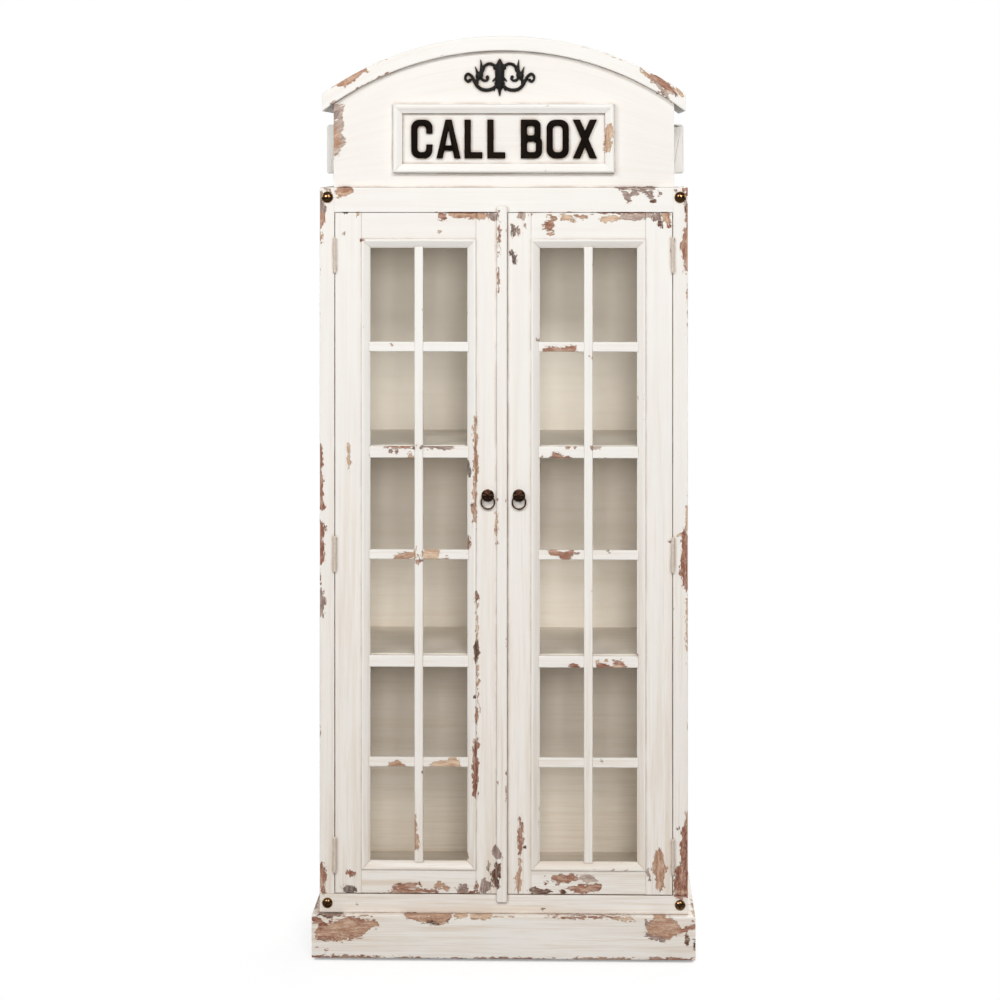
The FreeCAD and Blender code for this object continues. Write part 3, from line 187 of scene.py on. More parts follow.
def worn(p, normal, seed, overhang=False):
    """Wear and the colour of what shows through, for points at or near the front of the object."""
    x = p[:, 0] + (vnoise(p, 7.0, 211) - 0.5) * 3.4 + (vnoise(p, 3.6, 229) - 0.5) * 1.6
    z = p[:, 2] + (vnoise(p, 7.0, 223) - 0.5) * 3.4 + (vnoise(p, 3.6, 233) - 0.5) * 1.6
    bx, bz = vnoise(p, 21.0, 241) - 0.5, vnoise(p, 21.0, 251) - 0.5
    face_y = np.where(p[:, 2] < 94.6, -202.0, np.where(p[:, 2] < 1592.0, -182.0, -170.0))
    if overhang:
        face_y = p[:, 1].min()
    back = np.maximum(p[:, 1] - face_y, 0.0)
    # on side and upward faces a patch dies out behind the front edge; shallow ledges keep it
    side, up = np.abs(normal[:, 0]) > 0.5, normal[:, 2] > 0.3
    start = np.where(side | overhang, 2.0, 24.0)
    fade = np.where(side | up, np.maximum(back - start - 22.0 * fbm(p, 34.0, 263, 2) ** 2, 0.0) * 0.9, 0.0)
    # a patch stays on its own board: plinth, bottom rail, doors, top rail or arched front
    level = np.searchsorted(EDGES, p[:, 2])
    best = np.full(len(p), -1.0)
    col = np.tile(np.array(lin(BR)), (len(p), 1))
    for cx, cz, a, b, slant, s, c in PATCHES:
        reach = a + b + 16
        here = np.searchsorted(EDGES, cz)
        if abs(cx) > 349 and here > 0:
            keep = level > 0
        else:
            keep = level == here
        near = np.nonzero(keep & (np.abs(x - cx) < reach) & (np.abs(z - cz) < reach))[0]
        if not len(near):
            continue
        t = math.radians(slant)
        wob = min(b, 14.0) * 1.1
        dx = x[near] - cx + bx[near] * wob
        dz = z[near] - cz + bz[near] * wob
        u, v = dx * math.cos(t) + dz * math.sin(t), dz * math.cos(t) - dx * math.sin(t)
        r = np.sqrt((u / a) ** 2 + (v / b) ** 2) + 1e-6
        grad = np.sqrt((u / a ** 2) ** 2 + (v / b ** 2) ** 2) / r + 1e-6
        sd = np.minimum((1.0 - r) / grad, b) + 0.3 - fade[near]
        pot = np.minimum(0.44 + 0.10 * s + sd * SLOPE, 0.50 + 0.25 * s)
        take = pot > best[near] + np.where(sd > 0, -0.12, 0.0)
        k = near[take]
        best[k] = np.maximum(best[k], pot[take])
        col[k] = lin(c)
    best[normal[:, 1] > 0.35] = -1.0
    return best, col


# ------------------------------------------------------------------ mesh building
class Part:
    """Vertices, faces and per-point data of one piece, in millimetres."""

    def __init__(self):
        self.p, self.n, self.cd, self.g, self.faces, self.count = [], [], [], [], [], 0

    def add(self, p, n, cd, g, faces):
        self.p.append(p); self.n.append(n); self.cd.append(cd); self.g.append(g)
        self.faces.extend([tuple(i + self.count for i in f) for f in faces])
        self.count += len(p)
        return self

    def arrays(self):
        return np.concatenate(self.p), np.concatenate(self.n), np.concatenate(self.cd), np.concatenate(self.g)


def loop(poly, radius, step, fine=2.4, arc=3, dense=None):
    """A closed outline with rounded corners and extra points, plus the distance of each point from a corner."""
    poly = [np.array(a, float) for a in poly]
    area = sum(a[0] * b[1] - b[0] * a[1] for a, b in zip(poly, poly[1:] + poly[:1]))
    rad = list(radius) if hasattr(radius, "__len__") else [radius] * len(poly)
    if area < 0:
        poly, rad = poly[::-1], rad[::-1]
    n = len(poly)
    corner = []
    for i in range(n):
        a, c, b = poly[i - 1], poly[i], poly[(i + 1) % n]
        d1, d2 = c - a, b - c
        l1, l2 = np.linalg.norm(d1), np.linalg.norm(d2)
        d1, d2 = d1 / l1, d2 / l2
        turn = math.acos(max(-1.0, min(1.0, float(d1 @ d2))))
        if turn < math.radians(8) or rad[i] <= 0:
            corner.append(([c], turn >= math.radians(8)))
            continue
        t = min(rad[i] * math.tan(turn / 2), 0.42 * l1, 0.42 * l2)
        s, e = c - d1 * t, c + d2 * t
        pts = []
        for k in range(arc + 1):
            w = k / float(arc)
            pts.append((1 - w) ** 2 * s + 2 * w * (1 - w) * c + w * w * e)
        corner.append((pts, True))
    out, cd = [], []
    for i in range(n):
        pts, hard = corner[i]
        nxt, nhard = corner[(i + 1) % n]
        for q in pts:
            out.append(q)
            cd.append(0.0 if hard else 99.0)
        a, b = pts[-1], nxt[0]
        length = float(np.linalg.norm(b - a))
        stops = []
        local = step
        if dense and abs(a[dense[0]] - dense[1]) < 0.7 and abs(b[dense[0]] - dense[1]) < 0.7:
            local = dense[2]
        if length > 2 * fine + 1.5 and (hard or nhard):
            lo = fine if hard else 0.0
            hi = length - (fine if nhard else 0.0)
            m = max(1, int(math.ceil((hi - lo) / local)))
            stops = [lo + (hi - lo) * k / m for k in range(m + 1)]
            stops = [x for x in stops if 1e-6 < x < length - 1e-6]
        elif length > local:
            m = int(math.ceil(length / local))
            stops = [length * k / m for k in range(1, m)]
        for x in stops:
            out.append(a + (b - a) * x / length)
            cd.append(min(x if hard else 99.0, (length - x) if nhard else 99.0))
    out = np.array(out)
    tan = np.roll(out, -1, 0) - np.roll(out, 1, 0)
    tan /= np.maximum(np.linalg.norm(tan, axis=1), 1e-9)[:, None]
    return out, np.array(cd), np.stack([tan[:, 1], -tan[:, 0]], 1)


def sweep(part, lp, O, L, U, V, length, step=8.0, ma=0.0, mb=0.0, cham=0.4, soft_ends=True):
    """Sweeps a closed outline along L, with mitred or lightly eased ends."""
    uv, cd, nn = lp
    m = len(uv)
    inner = max(1, int(math.ceil((length - 2 * cham) / step)))
    ls = [0.0, cham] + ([cham + 2.4] if soft_ends and length > 14 else [])
    ls += [cham + (length - 2 * cham) * k / inner for k in range(1, inner)]
    ls += ([length - cham - 2.4] if soft_ends and length > 14 else []) + [length - cham, length]
    ls = sorted(set(round(x, 4) for x in ls))
    P, N, C, G = [], [], [], []
    base_n = uv_n = U[None, :] * nn[:, :1] + V[None, :] * nn[:, 1:]
    for k, l in enumerate(ls):
        q = uv - nn * cham if k in (0, len(ls) - 1) else uv
        t = l / length
        ll = l + (1 - t) * ma * q[:, 0] - t * mb * q[:, 0]
        P.append(O + L * ll[:, None] + U * q[:, :1] + V * q[:, 1:])
        end = min(l, length - l)
        C.append(np.minimum(cd, end if soft_ends else 99.0))
        G.append(np.stack([ll, q[:, 0], q[:, 1]], 1))
        if k == 0:
            uv_n = base_n * 0.5 - L * 0.7
        elif k == len(ls) - 1:
            uv_n = base_n * 0.5 + L * 0.7
        else:
            uv_n = base_n
        N.append(uv_n)
    faces = []
    r = len(ls)
    right_handed = float(np.dot(U, np.cross(V, L))) > 0
    for k in range(r - 1):
        a0, b0 = k * m, (k + 1) * m
        for j in range(m):
            j2 = (j + 1) % m
            f = (a0 + j, a0 + j2, b0 + j2, b0 + j)
            faces.append(f if right_handed else f[::-1])
    start, stop = tuple(range(m))[::-1], tuple((r - 1) * m + j for j in range(m))
    faces.append(start if right_handed else start[::-1])
    faces.append(stop if right_handed else stop[::-1])
    return part.add(np.concatenate(P), np.concatenate(N), np.concatenate(C), np.concatenate(G), faces)


AXES = {"x": (X, Y, Z), "y": (Y, Z, X), "z": (Z, X, Y)}
SEED = [3]


def finish_piece(part, name, body, nodes, slot, mat, warp=None, edge=0.5, wavy=0.25, front=True, chip=0.9, broad=0.0,
                 angle=42.0, wear_shift=0.0):
    """Turns a Part into a Blender object with its wear data, riding on its body."""
    SEED[0] += 1
    seed = SEED[0]
    p, n, cd, g = part.arrays()
    if warp is not None:
        p = warp(p)
    rnd = float(_hash(np.array([seed]), np.array([7]), np.array([11]), 5)[0])
    e = np.exp(-cd / 2.6)
    pot = e * edge * (fbm(p, 95.0, seed, 3) - 0.40) * (1.9 if front else 2.5) + (fbm(p, 11.0, seed + 5, 2) - 0.5) * 0.4 * e
    col = np.tile(np.array(lin(BR)), (len(p), 1))
    tint = fbm(p, 70.0, seed + 9, 2)[:, None]
    col = np.where(tint > 0.56, np.array(lin(TN)), col)
    if broad > 0:
        pot = np.maximum(pot, np.exp(-cd / 16.0) * broad * (fbm(p, 130.0, seed + 31, 3) - 0.30) * 2.0
                         + (fbm(p, 16.0, seed + 33, 3) - 0.5) * 0.5 - 0.12)
    if front:
        w, c = worn(p, n, seed, name.startswith("arched_roof"))
        use = w > pot
        pot = np.where(use, w, pot)
        col = np.where(use[:, None], c, col)
    pot = pot + wear_shift
    low = np.clip((pot - 0.45) * 2.5, 0, 1)
    p = p + n * ((fbm(p, 150.0, seed + 3, 2) - 0.5) * wavy)[:, None]
    p = p - n * (low * np.exp(-cd / 1.8) * chip)[:, None] - n * (low * 0.12)[:, None]
    me = bpy.data.meshes.new(name)
    me.from_pydata((p * 0.001).tolist(), [], part.faces)
    me.validate()
    for attr, kind, data in (("wear", "FLOAT", pot), ("hgt", "FLOAT", p[:, 2] * 0.001),
                             ("gco", "FLOAT_VECTOR", (g + rnd * 900.0) * 0.001)):
        a = me.attributes.new(attr, kind, "POINT")
        if kind == "FLOAT":
            a.data.foreach_set("value", data.astype(np.float32))
        else:
            a.data.foreach_set("vector", data.astype(np.float32).ravel())
    a = me.attributes.new("wcol", "FLOAT_COLOR", "POINT")
    a.data.foreach_set("color", np.concatenate([col, np.ones((len(p), 1))], 1).astype(np.float32).ravel())
    a = me.attributes.new("tone", "FLOAT", "POINT")
    a.data.foreach_set("value", np.full(len(p), rnd, np.float32))
    return add_object(me, name, body, nodes, mat, angle)


def add_object(me, name, body, nodes, mat, angle=42.0):
    me.polygons.foreach_set("use_smooth", [True] * len(me.polygons))
    me.set_sharp_from_angle(angle=math.radians(angle))
    me.materials.clear()
    me.materials.append(mat)
    o = bpy.data.objects.new(name, me)
    bpy.context.scene.collection.objects.link(o)
    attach(o, body)
    if nodes:
        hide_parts(*nodes)
    return o


# ------------------------------------------------------------------ materials
def new_mat(name):
    m = bpy.data.materials.new(name)
    m.use_nodes = True
    t = m.node_tree
    t.nodes.clear()
    return m, t


class Net:
    """Small helper for wiring shader nodes."""

    def __init__(self, tree):
        self.t = tree

    def node(self, kind, **props):
        n = self.t.nodes.new(kind)
        for k, v in props.items():
            setattr(n, k, v)
        return n

    def put(self, socket, value):
        if hasattr(value, "is_output") or isinstance(value, bpy.types.NodeSocket):
            self.t.links.new(value, socket)
        else:
            if hasattr(socket, "default_value"):
                if isinstance(value, (tuple, list)) and len(value) == 3 and len(socket.default_value) == 4:
                    value = tuple(value) + (1.0,)
                socket.default_value = value

    def math(self, op, a, b=0.0, c=None, clamp=False):
        n = self.node("ShaderNodeMath", operation=op, use_clamp=clamp)
        self.put(n.inputs[0], a)
        self.put(n.inputs[1], b)
        if c is not None:
            self.put(n.inputs[2], c)
        return n.outputs[0]

    def ramp(self, value, lo, hi, to_lo=0.0, to_hi=1.0, smooth=True):
        n = self.node("ShaderNodeMapRange", interpolation_type="SMOOTHSTEP" if smooth else "LINEAR")
        for s, v in zip(n.inputs[:5], (value, lo, hi, to_lo, to_hi)):
            self.put(s, v)
        return n.outputs[0]

    def mix(self, fac, a, b, blend="MIX"):
        n = self.node("ShaderNodeMix", data_type="RGBA", blend_type=blend)
        self.put(n.inputs[0], fac)
        self.put(n.inputs[6], a)
        self.put(n.inputs[7], b)
        return n.outputs[2]

    def scale(self, vec, s):
        n = self.node("ShaderNodeVectorMath", operation="MULTIPLY")
        self.put(n.inputs[0], vec)
        n.inputs[1].default_value = s
        return n.outputs[0]

    def noise(self, vec, scale, detail=4.0, rough=0.5, distortion=0.0, out=0):
        n = self.node("ShaderNodeTexNoise")
        self.put(n.inputs["Vector"], vec)
        n.inputs["Scale"].default_value = scale
        n.inputs["Detail"].default_value = detail
        n.inputs["Roughness"].default_value = rough
        n.inputs["Distortion"].default_value = distortion
        return n.outputs[out]

    def attr(self, name):
        return self.node("ShaderNodeAttribute", attribute_name=name)


def painted_wood(name, paint, streak, wear_amp=1.05, soil=0.0, rough=0.6, grain_gain=1.0, threshold=0.5, crease_dirt_and_shade=0.9):
    """Brushed chalky paint over primer over brown wood, worn through where the mesh says so."""
    m, t = new_mat(name)
    n = Net(t)
    gco = n.attr("gco").outputs["Vector"]
    wear = n.attr("wear").outputs["Fac"]
    tone = n.attr("tone").outputs["Fac"]
    wcol = n.attr("wcol").outputs["Color"]
    low = n.ramp(n.attr("hgt").outputs["Fac"], 0.0, 1.25, 1.0, 0.0, smooth=False)
    flake = n.noise(n.scale(gco, (0.55, 1.0, 1.0)), 150.0, 9.0, 0.68, 0.25)
    chips = n.noise(n.scale(gco, (0.28, 1.0, 1.0)), 430.0, 4.0, 0.62, 0.1)
    pot = n.math("ADD", wear, n.math("MULTIPLY", n.math("SUBTRACT", flake, 0.5), wear_amp))
    pot = n.math("ADD", pot, n.math("MULTIPLY", n.math("SUBTRACT", chips, 0.5), wear_amp * 0.60))
    bare = n.ramp(pot, threshold - 0.012, threshold + 0.02)
    halo = n.ramp(pot, threshold - 0.08, threshold - 0.01)
    rim = n.math("MULTIPLY", n.ramp(pot, threshold, threshold + 0.02), n.ramp(pot, threshold + 0.03, threshold + 0.10, 1.0, 0.0))
    # wood under the paint: mottled, with fine grain and paint left in the pores
    grain = n.noise(n.scale(gco, (0.09, 1.0, 1.0)), 380.0, 6.0, 0.62, 0.5)
    mottle = n.noise(n.scale(gco, (0.30, 1.0, 1.0)), 130.0, 6.0, 0.65, 0.3)
    fleck = n.noise(n.scale(gco, (0.4, 1.0, 1.0)), 620.0, 4.0, 0.65)
    dark = n.mix(1.0, wcol, (0.62, 0.54, 0.50), "MULTIPLY")
    pale = n.mix(0.38, wcol, (0.74, 0.62, 0.50))
    wood = n.mix(n.ramp(grain, 0.34, 0.62), dark, wcol)
    wood = n.mix(n.ramp(mottle, 0.44, 0.70), wood, pale)
    wood = n.mix(n.ramp(mottle, 0.56, 0.34, 0.0, 0.55), wood, dark)
    wood = n.mix(n.ramp(fleck, 0.55, 0.68, 0.0, 0.62), wood, (0.74, 0.69, 0.63))
    # a dark brown rim just inside each bare patch: painted shadow of the chipped paint edge
    wood = n.mix(n.math("MULTIPLY", rim, 0.60), wood, (0.13, 0.062, 0.038))
    # paint: faint streaks along the board, cloudy patches, dirt, and painted shade in the creases
    long_streak = n.noise(n.scale(gco, (0.035, 1.0, 1.0)), 60.0, 6.0, 0.62, 0.2)
    fine_streak = n.noise(n.scale(gco, (0.03, 1.0, 1.0)), 420.0, 4.0, 0.55)
    cloud = n.noise(gco, 7.0, 4.0, 0.55)
    mid_streak = n.noise(n.scale(gco, (0.022, 1.0, 1.0)), 170.0, 5.0, 0.6, 0.1)
    # streaks grow stronger, and their colour darker and warmer, towards the bottom
    lower_streak_gain = n.math("ADD", 0.26, n.math("MULTIPLY", low, 0.80))
    stain = n.mix(low, tuple(x * y for x, y in zip(streak, (1.0, 0.99, 0.98))), tuple(x * y for x, y in zip(streak, (0.95, 0.90, 0.84))))
    c = n.mix(n.math("MULTIPLY", n.ramp(long_streak, 0.44, 0.74), lower_streak_gain, clamp=True), paint, stain)
    c = n.mix(n.math("MULTIPLY", n.ramp(mid_streak, 0.50, 0.76, 0.0, 0.9), lower_streak_gain, clamp=True), c, stain)
    c = n.mix(n.math("MULTIPLY", n.ramp(fine_streak, 0.50, 0.74, 0.0, 0.6), lower_streak_gain, clamp=True), c, stain)
    c = n.mix(n.ramp(mid_streak, 0.40, 0.24, 0.0, 0.5), c, tuple(min(x * 1.05, 0.86) for x in paint))
    # the paint is a little darker and warmer towards the bottom
    c = n.mix(n.math("MULTIPLY", low, 0.8), c, n.mix(1.0, c, (0.985, 0.955, 0.925), "MULTIPLY"))
    c = n.mix(n.ramp(cloud, 0.40, 0.75, 0.0, 0.25), c, tuple(x * 0.93 for x in paint))
    c = n.mix(n.ramp(tone, 0.0, 1.0, 0.0, 0.14), c, streak)
    speck = n.noise(n.scale(gco, (0.6, 1.0, 1.0)), 330.0, 2.0, 0.5)
    c = n.mix(n.ramp(speck, 0.775, 0.80, 0.0, 0.5), c, (0.50, 0.38, 0.30))
    if soil > 0:
        dirt = n.noise(n.scale(gco, (0.2, 1.0, 1.0)), 34.0, 5.0, 0.7)
        c = n.mix(n.ramp(dirt, 0.45, 0.8, 0.0, soil), c, (0.50, 0.42, 0.33))
    if crease_dirt_and_shade > 0:
        # tan lines where ambient occlusion finds a crease: painted shade in the creases, with some crease dirt
        ao = n.node("ShaderNodeAmbientOcclusion", samples=3)
        ao.inputs["Distance"].default_value = 0.007
        near = n.ramp(ao.outputs["AO"], 0.42, 0.90, 1.0, 0.0)
        where = n.ramp(n.noise(gco, 16.0, 4.0, 0.6), 0.35, 0.62, 0.25, 1.0)
        c = n.mix(n.math("MULTIPLY", n.math("MULTIPLY", near, where), crease_dirt_and_shade), c, (0.36, 0.24, 0.165))
    c = n.mix(n.math("MULTIPLY", halo, 0.5), c, (0.78, 0.68, 0.58))
    color = n.mix(bare, c, wood)
    bsdf = n.node("ShaderNodeBsdfPrincipled")
    n.put(bsdf.inputs["Base Color"], color)
    n.put(bsdf.inputs["Roughness"], n.ramp(bare, 0.0, 1.0, rough, 0.85))
    bsdf.inputs["Specular IOR Level"].default_value = 0.32
    brush = n.noise(n.scale(gco, (0.02, 1.0, 1.0)), 950.0, 4.0, 0.6)
    lump = n.noise(n.scale(gco, (0.3, 1.0, 1.0)), 70.0, 3.0, 0.5)
    h = n.math("MULTIPLY", brush, 0.10)
    h = n.math("ADD", h, n.math("MULTIPLY", lump, 0.16))
    h = n.math("ADD", h, n.math("MULTIPLY", long_streak, 0.12 * grain_gain))
    h = n.math("ADD", h, n.math("MULTIPLY", n.math("SUBTRACT", 1.0, bare), 0.7))
    h = n.math("ADD", h, n.math("MULTIPLY", n.math("MULTIPLY", grain, bare), 0.35))
    h = n.math("ADD", h, n.math("MULTIPLY", n.math("MULTIPLY", mottle, bare), 0.35))
    bump = n.node("ShaderNodeBump")
    bump.inputs["Strength"].default_value = 0.8
    bump.inputs["Distance"].default_value = 0.0008
    n.put(bump.inputs["Height"], h)
    n.put(bsdf.inputs["Normal"], bump.outputs[0])
    out = n.node("ShaderNodeOutputMaterial")
    t.links.new(bsdf.outputs[0], out.inputs[0])
    return m


def simple_mat(name, c_low, c_high, scale, rough_lo, rough_hi, metallic=0.0, bump=0.3, dist=0.0003, coords="Object",
               stretch=(1.0, 1.0, 1.0), edge=None, detail=5.0, spec=0.5):
    """A two-tone noisy surface with matching roughness and bump; edge tints convex places, as a painted highlight on
    the dark metals and letters and as worn paint on the hinge, and hollows get painted shade.
    """
    m, t = new_mat(name)
    n = Net(t)
    co = n.node("ShaderNodeTexCoord").outputs[coords]
    co = n.scale(co, stretch)
    a = n.noise(co, scale, detail, 0.6, 0.2)
    b = n.noise(co, scale * 4.3, 3.0, 0.6)
    color = n.mix(n.ramp(a, 0.35, 0.68), c_low, c_high)
    bsdf = n.node("ShaderNodeBsdfPrincipled")
    if edge is not None:
        # convex places take the edge colour: a painted highlight on the dark metals and letters, worn paint on the
        # hinge
        geo = n.node("ShaderNodeNewGeometry")
        point = n.ramp(n.math("ADD", geo.outputs["Pointiness"], n.math("MULTIPLY", n.math("SUBTRACT", b, 0.5), 0.05)),
                       0.505, 0.56)
        color = n.mix(n.math("MULTIPLY", point, edge[3]), color, edge[:3])
        # hollows darkened: painted shade in the hollows, on the metals partly patina
        color = n.mix(n.ramp(geo.outputs["Pointiness"], 0.44, 0.49, 0.85, 0.0), color, tuple(x * 0.25 for x in c_low))
    n.put(bsdf.inputs["Base Color"], color)
    n.put(bsdf.inputs["Roughness"], n.ramp(b, 0.3, 0.7, rough_lo, rough_hi))
    bsdf.inputs["Metallic"].default_value = metallic
    bsdf.inputs["Specular IOR Level"].default_value = spec
    bn = n.node("ShaderNodeBump")
    bn.inputs["Strength"].default_value = bump
    bn.inputs["Distance"].default_value = dist
    n.put(bn.inputs["Height"], n.math("ADD", a, n.math("MULTIPLY", b, 0.5)))
    n.put(bsdf.inputs["Normal"], bn.outputs[0])
    out = n.node("ShaderNodeOutputMaterial")
    t.links.new(bsdf.outputs[0], out.inputs[0])
    return m


PAINT = painted_wood("paint_white", (0.802, 0.790, 0.768), (0.70, 0.640, 0.575))
BARS = painted_wood("paint_white_bars", (0.802, 0.790, 0.768), (0.70, 0.640, 0.575), crease_dirt_and_shade=0.25)
INSIDE = painted_wood("paint_inside", (0.85, 0.796, 0.722), (0.79, 0.727, 0.645), wear_amp=0.5, soil=0.12, rough=0.68, threshold=0.66,
                      crease_dirt_and_shade=0.0)
REAR = painted_wood("paint_rear", (0.77, 0.745, 0.705), (0.67, 0.605, 0.53), soil=0.12)
BARE = simple_mat("bare_wood", (0.42, 0.27, 0.16), (0.60, 0.43, 0.28), 60.0, 0.65, 0.85, bump=0.4, stretch=(1.0, 1.0, 0.15))
BOSS = simple_mat("dark_bronze_cast", (0.014, 0.008, 0.006), (0.058, 0.027, 0.018), 420.0, 0.15, 0.28, metallic=1.0, bump=0.35,
                  dist=0.0003, edge=(0.55, 0.33, 0.20, 0.32))
BRONZE = simple_mat("dark_bronze", (0.026, 0.015, 0.010), (0.15, 0.075, 0.036), 330.0, 0.15, 0.28, metallic=1.0, bump=0.3,
                    dist=0.0003, edge=(0.85, 0.60, 0.30, 0.45))
RING = simple_mat("dark_bronze_wire", (0.014, 0.009, 0.007), (0.050, 0.028, 0.018), 420.0, 0.24, 0.40, metallic=0.9, bump=0.3,
                  dist=0.0003, edge=(0.40, 0.25, 0.12, 0.25))
IRON = simple_mat("black_iron", (0.005, 0.005, 0.005), (0.016, 0.015, 0.015), 700.0, 0.40, 0.62, metallic=0.35, bump=0.9,
                  dist=0.0006, edge=(0.12, 0.115, 0.11, 0.45), spec=0.35)
LETTER = simple_mat("letter_black", (0.0022, 0.0018, 0.0015), (0.0050, 0.0038, 0.0032), 240.0, 0.50, 0.70, bump=0.25, dist=0.0003,
                    edge=(0.03, 0.018, 0.012, 0.3), spec=0.03)
HINGE = simple_mat("painted_hinge", (0.62, 0.575, 0.52), (0.74, 0.705, 0.655), 160.0, 0.5, 0.7, bump=0.35,
                   edge=(0.45, 0.33, 0.23, 0.4), spec=0.25)
STEEL = simple_mat("zinc_steel", (0.36, 0.35, 0.33), (0.58, 0.57, 0.55), 300.0, 0.28, 0.45, metallic=0.9, bump=0.2)
PLASTIC = simple_mat("glide_black", (0.012, 0.012, 0.012), (0.03, 0.03, 0.03), 300.0, 0.5, 0.7, bump=0.2)


def glass_mat():
    m, t = new_mat("clear_glass")
    n = Net(t)
    co = n.node("ShaderNodeTexCoord").outputs["Object"]
    ripple = n.noise(n.scale(co, (1.0, 1.0, 0.5)), 9.0, 2.0, 0.4)
    bump = n.node("ShaderNodeBump")
    bump.inputs["Strength"].default_value = 0.12
    bump.inputs["Distance"].default_value = 0.001
    n.put(bump.inputs["Height"], ripple)
    smear = n.noise(n.scale(co, (1.0, 1.0, 0.35)), 26.0, 4.0, 0.6)
    fres = n.node("ShaderNodeFresnel")
    fres.inputs["IOR"].default_value = 1.5
    n.put(fres.inputs["Normal"], bump.outputs[0])
    clear = n.node("ShaderNodeBsdfTransparent")
    n.put(clear.inputs["Color"], n.mix(n.ramp(smear, 0.3, 0.7), (0.982, 0.985, 0.980), (0.995, 0.997, 0.994)))
    gloss = n.node("ShaderNodeBsdfGlossy")
    gloss.inputs["Color"].default_value = (1, 1, 1, 1)
    n.put(gloss.inputs["Roughness"], n.ramp(smear, 0.4, 0.8, 0.02, 0.09))
    n.put(gloss.inputs["Normal"], bump.outputs[0])
    mix = n.node("ShaderNodeMixShader")
    t.links.new(n.math("MULTIPLY", fres.outputs[0], 0.35), mix.inputs[0])
    t.links.new(clear.outputs[0], mix.inputs[1])
    t.links.new(gloss.outputs[0], mix.inputs[2])
    out = n.node("ShaderNodeOutputMaterial")
    t.links.new(mix.outputs[0], out.inputs[0])
    return m


GLASS = glass_mat()

# ------------------------------------------------------------------ boards
BODY_OF = {}
for b, members in frame["record"]["behaviour"]["bodies"].items():
    for x in members:
        BODY_OF[x] = b
SLOT_OF = {s["node"]: s["material_slot"] for s in frame["record"]["subparts"]}


def board(node, axis, r=1.3, step=7.0, along=9.0, mat=None, cham=0.5, dense=None, grow=(0.0, 0.0), **kw):
    """A plain board that fills a node's box, with eased edges. grow is the thickness of paint on its two x faces."""
    lo, hi = nbox(node)
    lo[0], hi[0] = lo[0] - grow[0], hi[0] + grow[1]
    L, U, V = AXES[axis]
    size = hi - lo
    w, h, length = float(size @ U), float(size @ V), float(size @ L)
    lp = loop([(0, 0), (w, 0), (w, h), (0, h)], min(r, w * 0.3, h * 0.3), step,
              dense=None if dense is None else ({"x": 0, "z": 1}[axis], 0.0, dense))
    part = sweep(Part(), lp, lo, L, U, V, length, along, cham=cham)
    return finish_piece(part, node + "_board", BODY_OF[node], [node], SLOT_OF[node], mat or PAINT, **kw)


def shaped(node, axis, poly, r, step=7.0, along=9.0, mat=None, cham=0.4, dense=None, **kw):
    """A board with its own cross section, given in the frame's coordinates, along one axis."""
    lo, hi = nbox(node)
    L, U, V = AXES[axis]
    lp = loop(poly, r, step, dense=None if dense is None else ({"x": 0, "z": 1}[axis], float(lo[1]), dense))
    O = L * float(lo @ L)
    part = sweep(Part(), lp, O, L, U, V, float((hi - lo) @ L), along, cham=cham)
    return finish_piece(part, node + "_board", BODY_OF[node], [node], SLOT_OF[node], mat or PAINT, **kw)


# plinth, mitred at the front corners
lo, hi = nbox("plinth_front")
half, t = hi[0], hi[1] - lo[1]


def mitre_front(p):
    q = p.copy()
    q[:, 0] = p[:, 0] * (1 - (p[:, 1] - lo[1]) / half)
    return q


board("plinth_front", "x", r=2.6, step=8, along=2.9, dense=2.9, warp=mitre_front, edge=0.75, cham=0.2)
for side, nm in ((-1, "plinth_side_left"), (1, "plinth_side_right")):
    slo, shi = nbox(nm)

    def mitre_side(p, side=side, slo=slo, shi=shi):
        q = p.copy()
        inner = (p[:, 0] - slo[0]) if side < 0 else (shi[0] - p[:, 0])
        f = (shi[1] - p[:, 1]) / (shi[1] - slo[1])
        q[:, 1] = p[:, 1] + inner * f
        return q

    board(nm, "y", r=2.6, step=6, along=6, warp=mitre_side, edge=1.2, broad=0.9, cham=0.2)
board("plinth_back", "x", step=8, along=8, mat=REAR, edge=0.95, broad=0.85, front=False)

# case
board("bottom_rail", "x", r=1.6, step=8, along=3.4, dense=3.4, edge=0.7)
board("front_post_left", "z", r=1.8, step=8, along=2.9, dense=2.9, edge=0.6, grow=(0.0, 0.7))
board("front_post_right", "z", r=1.8, step=8, along=2.9, dense=2.9, edge=0.6, grow=(0.7, 0.0))
lo, hi = nbox("top_rail")
shaped("top_rail", "x",
       [(lo[1], lo[2] + 15.9), (lo[1] + 22.5, lo[2] + 15.9), (lo[1] + 22.5, lo[2]), (hi[1], lo[2]), (hi[1], hi[2]), (lo[1], hi[2])],
       [1.2, 0.3, 0.8, 0.8, 0.3, 1.5], step=9, along=2.9, dense=2.9, edge=0.55)


def two_sided(obj, other, axis, sign):
    """Gives the faces that look along one direction a second material."""
    me = obj.data
    me.materials.append(other)
    nrm = np.zeros(len(me.polygons) * 3)
    me.polygons.foreach_get("normal", nrm)
    pick = nrm.reshape(-1, 3)[:, axis] * sign > 0.6
    me.polygons.foreach_set("material_index", pick.astype(np.int32))


for nm, inward in (("side_panel_left", 1), ("side_panel_right", -1)):
    two_sided(board(nm, "z", r=1.8, step=8, along=8, edge=1.25, broad=0.95), INSIDE, 0, inward)
two_sided(board("top_panel", "x", step=14, along=9, edge=1.0, broad=0.7), INSIDE, 2, -1)
two_sided(board("back_panel", "x", step=16, along=16, mat=INSIDE, edge=0.3, front=False, r=0.6), REAR, 1, 1)
board("cabinet_floor", "x", step=14, along=14, mat=INSIDE, edge=0.4, front=False)
for nm in ("shelf_upper", "shelf_lower"):
    board(nm, "x", r=2.0, step=12, along=12, mat=INSIDE, edge=0.5, front=False)

